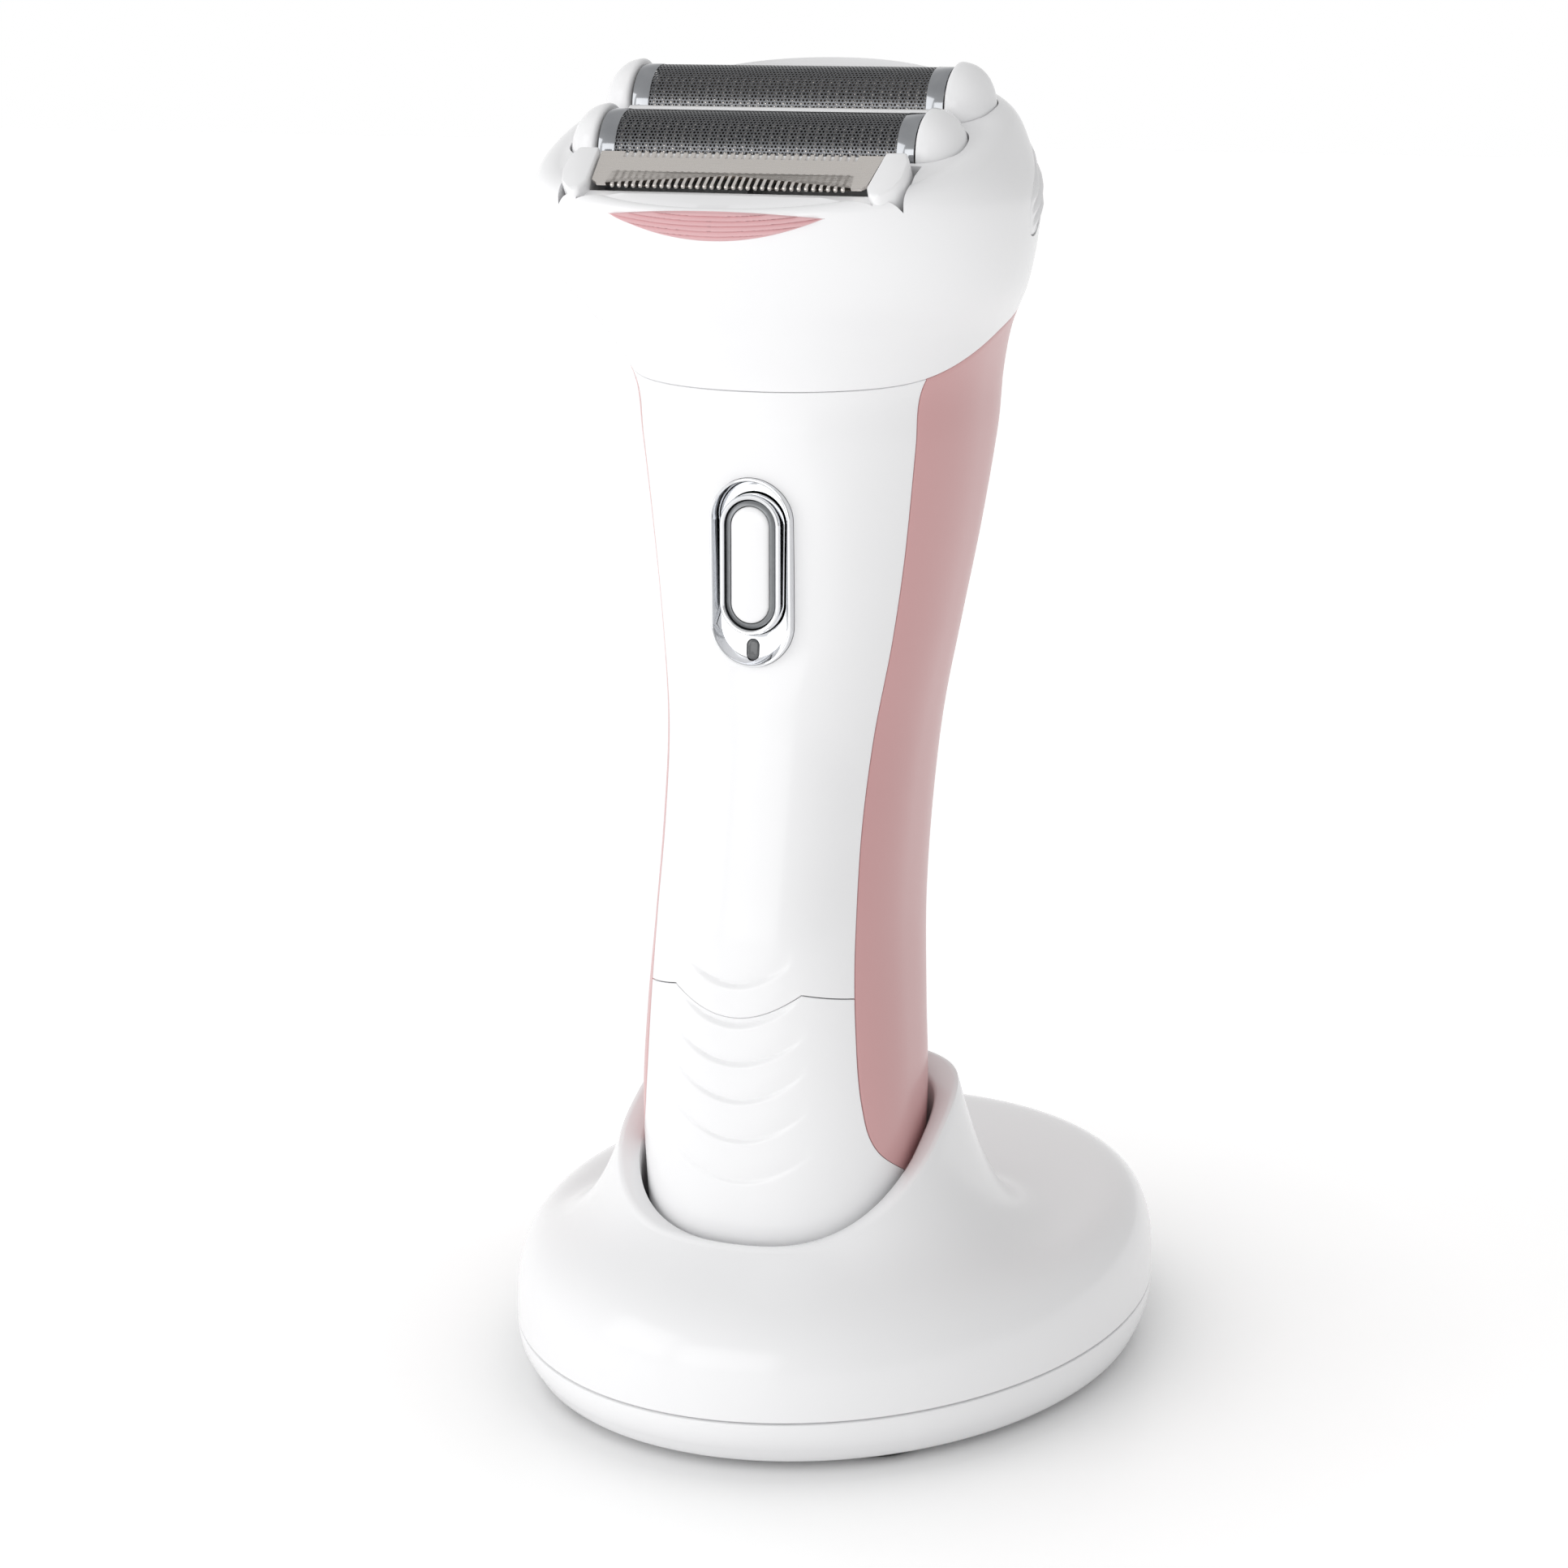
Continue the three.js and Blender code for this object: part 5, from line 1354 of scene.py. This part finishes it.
def comb_tree(name, sizes, material):
    tree = named_tree(name, sizes)
    given = add_node(tree, "NodeGroupInput")
    bar_size = scaled_vector(tree, given, ("Tooth Width", "Tooth Length", "Thickness"))
    bar = add_node(tree, "GeometryNodeMeshCube", links=[("Size", bar_size, "Vector")])
    ball = add_node(tree, "GeometryNodeMeshUVSphere", inputs={"Segments": 14, "Rings": 8},
                    links=[("Radius", given, "Ball Radius")])
    half = maths(tree, "MULTIPLY", (given, "Tooth Length"), -0.5)
    forward = add_node(tree, "ShaderNodeCombineXYZ", links=[("Y", *half)])
    tipped = add_node(tree, "GeometryNodeTransform",
                      links=[("Geometry", ball, "Mesh"), ("Translation", forward, "Vector")])
    tooth = add_node(tree, "GeometryNodeMeshBoolean", {"operation": "UNION", "solver": "EXACT"})
    tree.links.new(bar.outputs["Mesh"], tooth.inputs["Mesh 2"])
    tree.links.new(tipped.outputs["Geometry"], tooth.inputs["Mesh 2"])
    tooth_places = row_of_points(tree, given, "Tooth Count", "Tooth Pitch",
                                 COMB_TEETH_FROM - sizes["Tooth Length"] / MM / 2 + 0.15)
    teeth = add_node(tree, "GeometryNodeInstanceOnPoints",
                     links=[("Points", tooth_places, "Mesh"), ("Instance", tooth, "Mesh")])
    slot_size = scaled_vector(tree, given, ("Slot Width", "Slot Length", 3 * MM))
    slot = add_node(tree, "GeometryNodeMeshCube", links=[("Size", slot_size, "Vector")])
    slot_places = row_of_points(tree, given, "Slot Count", "Slot Pitch",
                                COMB_BACK - sizes["Slot Length"] / MM / 2 + 0.1)
    slots = add_node(tree, "GeometryNodeInstanceOnPoints",
                     links=[("Points", slot_places, "Mesh"), ("Instance", slot, "Mesh")])
    slotted = add_node(tree, "GeometryNodeMeshBoolean", {"operation": "DIFFERENCE", "solver": "EXACT"},
                       links=[("Mesh 1", given, "Geometry")])
    tree.links.new(slots.outputs["Instances"], slotted.inputs["Mesh 2"])
    close_tree(tree, joined(tree, (slotted, "Mesh"), (teeth, "Instances")), "Geometry", material)
    return tree


COMB_TIPS = COMB_TEETH_FROM - 2.2
COMB_SHOULDER = COMB_TEETH_FROM - 1.6
comb_outline = ((-17.3, COMB_SHOULDER), (-16.6, COMB_TIPS), (-15.4, COMB_TIPS), (-15.2, COMB_TEETH_FROM),
                (15.2, COMB_TEETH_FROM), (15.4, COMB_TIPS), (16.6, COMB_TIPS), (17.3, COMB_SHOULDER),
                (17.85, COMB_BACK), (-17.85, COMB_BACK))
comb = prism("trimmer_comb_toothed", comb_outline, -COMB_THICKNESS / 2, COMB_THICKNESS / 2, Matrix.Identity(4),
             brushed_stainless)
run_tree(comb, comb_tree("trimmer comb", COMB_SIZES, brushed_stainless), COMB_SIZES, crisp=30)
place_mesh(comb, trimmer_frame() @ Matrix.Translation((0, 0, -COMB_THICKNESS / 2)))
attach(comb, "trimmer")
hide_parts("trimmer_comb")

ground_blade_steel = plated_metal("ground blade steel", "#8F8A85", "#76726E", 0.3, (0.08, 1.0, 0.3), 0.004)
BLADE_SIZES = dict(COMB_SIZES, **{"Tooth Count": 27, "Tooth Pitch": 1.08 * MM, "Tooth Width": 0.5 * MM,
                                  "Tooth Length": 1.7 * MM, "Ball Radius": 0.2 * MM, "Slot Count": 25,
                                  "Slot Pitch": 1.16 * MM, "Slot Width": 0.6 * MM})
blade = prism("trimmer_blade_toothed", block((-15.4, 15.4), (COMB_TEETH_FROM, COMB_BACK - 0.4)), -0.2, 0.2,
              Matrix.Identity(4), ground_blade_steel)
run_tree(blade, comb_tree("trimmer blade", BLADE_SIZES, ground_blade_steel), BLADE_SIZES, crisp=30)
place_mesh(blade, trimmer_frame() @ Matrix.Translation((0, 0, -0.95)))
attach(blade, "trimmer_blade")
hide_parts("trimmer_blade")


def softened(piece, edge_mm, segments=3, crisp=35):
    edge = piece.modifiers.new("edge", "BEVEL")
    edge.width = edge_mm * MM
    edge.segments = segments
    edge.limit_method = "ANGLE"
    edge.angle_limit = math.radians(35)
    return settle(piece, crisp)


cheek_outline = ((18.1, 3.4), (17.55, -3.3), (18.2, -4.75), (19.3, -4.9), (20.7, -3.4), (21.4, -1.4),
                 (21.3, 1.9), (20.6, 3.4))
cheeks = [softened(prism("cheek", outline, -5.0, 0.55, trimmer_frame(), polished_white_abs), 0.45)
          for outline in (cheek_outline, [(-x, y) for x, y in reversed(cheek_outline)])]
bars = [softened(prism("bar", block((-18.6, 18.6), y), low, high, trimmer_frame(), polished_white_abs), 0.2)
        for y, low, high in (((-4.85, -3.0), -5.0, -1.0), ((2.75, 3.9), -5.0, -0.75))]
trimmer_holder = weld_bodies(cheeks[0], [cheeks[1]] + bars, crisp=30)
trimmer_holder.name = trimmer_holder.data.name = "trimmer_holder"
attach(trimmer_holder, "trimmer")
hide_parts("trimmer_frame")


# ---- Inner parts ----
# The parts inside the shell are seen only when the shaver is taken apart: moulded carriers, a sleeved cell, a
# motor can with its shaft and guide rod, a rubber seal and two circuit boards.

grey_acetal = moulded_plastic("grey acetal", "#A9ABAC", "#9FA1A3", 0.42, 0.8, 0.004)
cell_sleeve = moulded_plastic("shrunk PVC sleeve", "#3F6E8C", "#386480", 0.3, 1.6, 0.006, coat=0.3)
motor_steel = plated_metal("deep-drawn motor can", "#B9BBBD", "#A6A8AB", 0.32, (0.1, 0.1, 2.5), 0.003)
solder_mask = moulded_plastic("solder-masked laminate", "#1F5A3A", "#1A4C31", 0.35, 0.35, 0.006, coat=0.4)
inner_materials = {
    "neck_plate": matt_grey_abs, "inner_chassis": matt_grey_abs, "power_switch": matt_grey_abs,
    "drive_bridge": grey_acetal, "eccentric": grey_acetal, "battery_cell": cell_sleeve,
    "drive_motor": motor_steel, "bridge_guide_rod": motor_steel, "motor_shaft": motor_steel,
    "shaft_seal": soft_rubber, "control_board": solder_mask, "stand_charge_board": solder_mask,
    "charge_lamp": smoked_polycarbonate,
}
for name, material in inner_materials.items():
    bpy.data.objects[name].material_slots[0].material = material

# ---- Studio ----
# A pale floor that glows with painted light, broad soft boxes and a camera above and to the right of the front.

floor_paint = moulded_plastic("studio floor", "#FCFCFC", "#F9F9F9", 0.3, 30.0, 0.0)
paint_nodes = floor_paint.node_tree
# The floor glows with painted light of up to 0.3, fading to none where ambient occlusion finds it sheltered, so
# a painted contact shade lies round the stand.
painted_shade_mask = add_node(paint_nodes, "ShaderNodeAmbientOcclusion", inputs={"Distance": 0.05})
painted_floor_glow = add_node(paint_nodes, "ShaderNodeMapRange", inputs={"From Min": 0.55, "To Max": 0.3},
                links=[("Value", painted_shade_mask, "AO")])
floor_shader = paint_nodes.nodes["Principled BSDF"]
floor_shader.inputs["Emission Color"].default_value = linear("#FFFFFF")
paint_nodes.links.new(painted_floor_glow.outputs["Result"], floor_shader.inputs["Emission Strength"])
far = 3000
floor = make_piece("studio_floor", [(-far, -far, 0), (far, -far, 0), (far, far, 0), (-far, far, 0)],
                   [(0, 1, 2, 3)], floor_paint)


def soft_box(name, at, size, power, aim=(0, -0.02, 0.09)):
    """A rectangular area light, aimed at the shaver."""
    light = bpy.data.lights.new(name, "AREA")
    light.shape = "RECTANGLE"
    light.size, light.size_y = size
    light.energy = power
    lamp = bpy.data.objects.new(name, light)
    bpy.context.scene.collection.objects.link(lamp)
    lamp.location = at
    lamp.rotation_euler = (Vector(at) - Vector(aim)).to_track_quat("Z", "Y").to_euler()
    return lamp


soft_box("key box, left", (-0.9, -0.8, 0.45), (0.7, 0.7), 2.0)
soft_box("front box", (-0.1, -1.1, 0.3), (0.9, 0.5), 2.0)

# The surroundings are white to the camera, bright above and to the left, and greyer to the right and behind.
world = bpy.data.worlds.new("white studio")
world.use_nodes = True
sky = world.node_tree
direction = add_node(sky, "ShaderNodeTexCoord")
apart = add_node(sky, "ShaderNodeSeparateXYZ", links=[("Vector", direction, "Generated")])
sideways = {"From Min": -0.6, "From Max": 0.9, "To Min": 1.05, "To Max": 0.42}
across = add_node(sky, "ShaderNodeMapRange", inputs=sideways, links=[("Value", apart, "X")])
height = add_node(sky, "ShaderNodeMapRange", inputs={"From Min": 0.05, "From Max": 0.75},
                  links=[("Value", apart, "Z")])
lit = add_node(sky, "ShaderNodeMix", {"data_type": "FLOAT"}, inputs={3: 0.66},
               links=[(0, height, "Result"), (2, across, "Result")])
path = add_node(sky, "ShaderNodeLightPath")
seen = add_node(sky, "ShaderNodeMix", {"data_type": "FLOAT"}, inputs={3: 1.0},
                links=[(0, path, "Is Camera Ray"), (2, lit, 0)])
backdrop = sky.nodes["Background"]
backdrop.inputs["Color"].default_value = linear("#FFFFFF")
sky.links.new(seen.outputs[0], backdrop.inputs["Strength"])
bpy.context.scene.world = world
bpy.context.scene.view_settings.view_transform = "Standard"

camera_lens = bpy.data.cameras.new("camera")
camera_lens.lens = 85
camera_lens.sensor_width = 36
camera = bpy.data.objects.new("camera", camera_lens)
bpy.context.scene.collection.objects.link(camera)
camera.location = (0.16057, -0.44713, 0.18219)
camera.rotation_euler = (math.radians(90 - 12.649), 0, math.radians(20.67))
bpy.context.scene.camera = camera
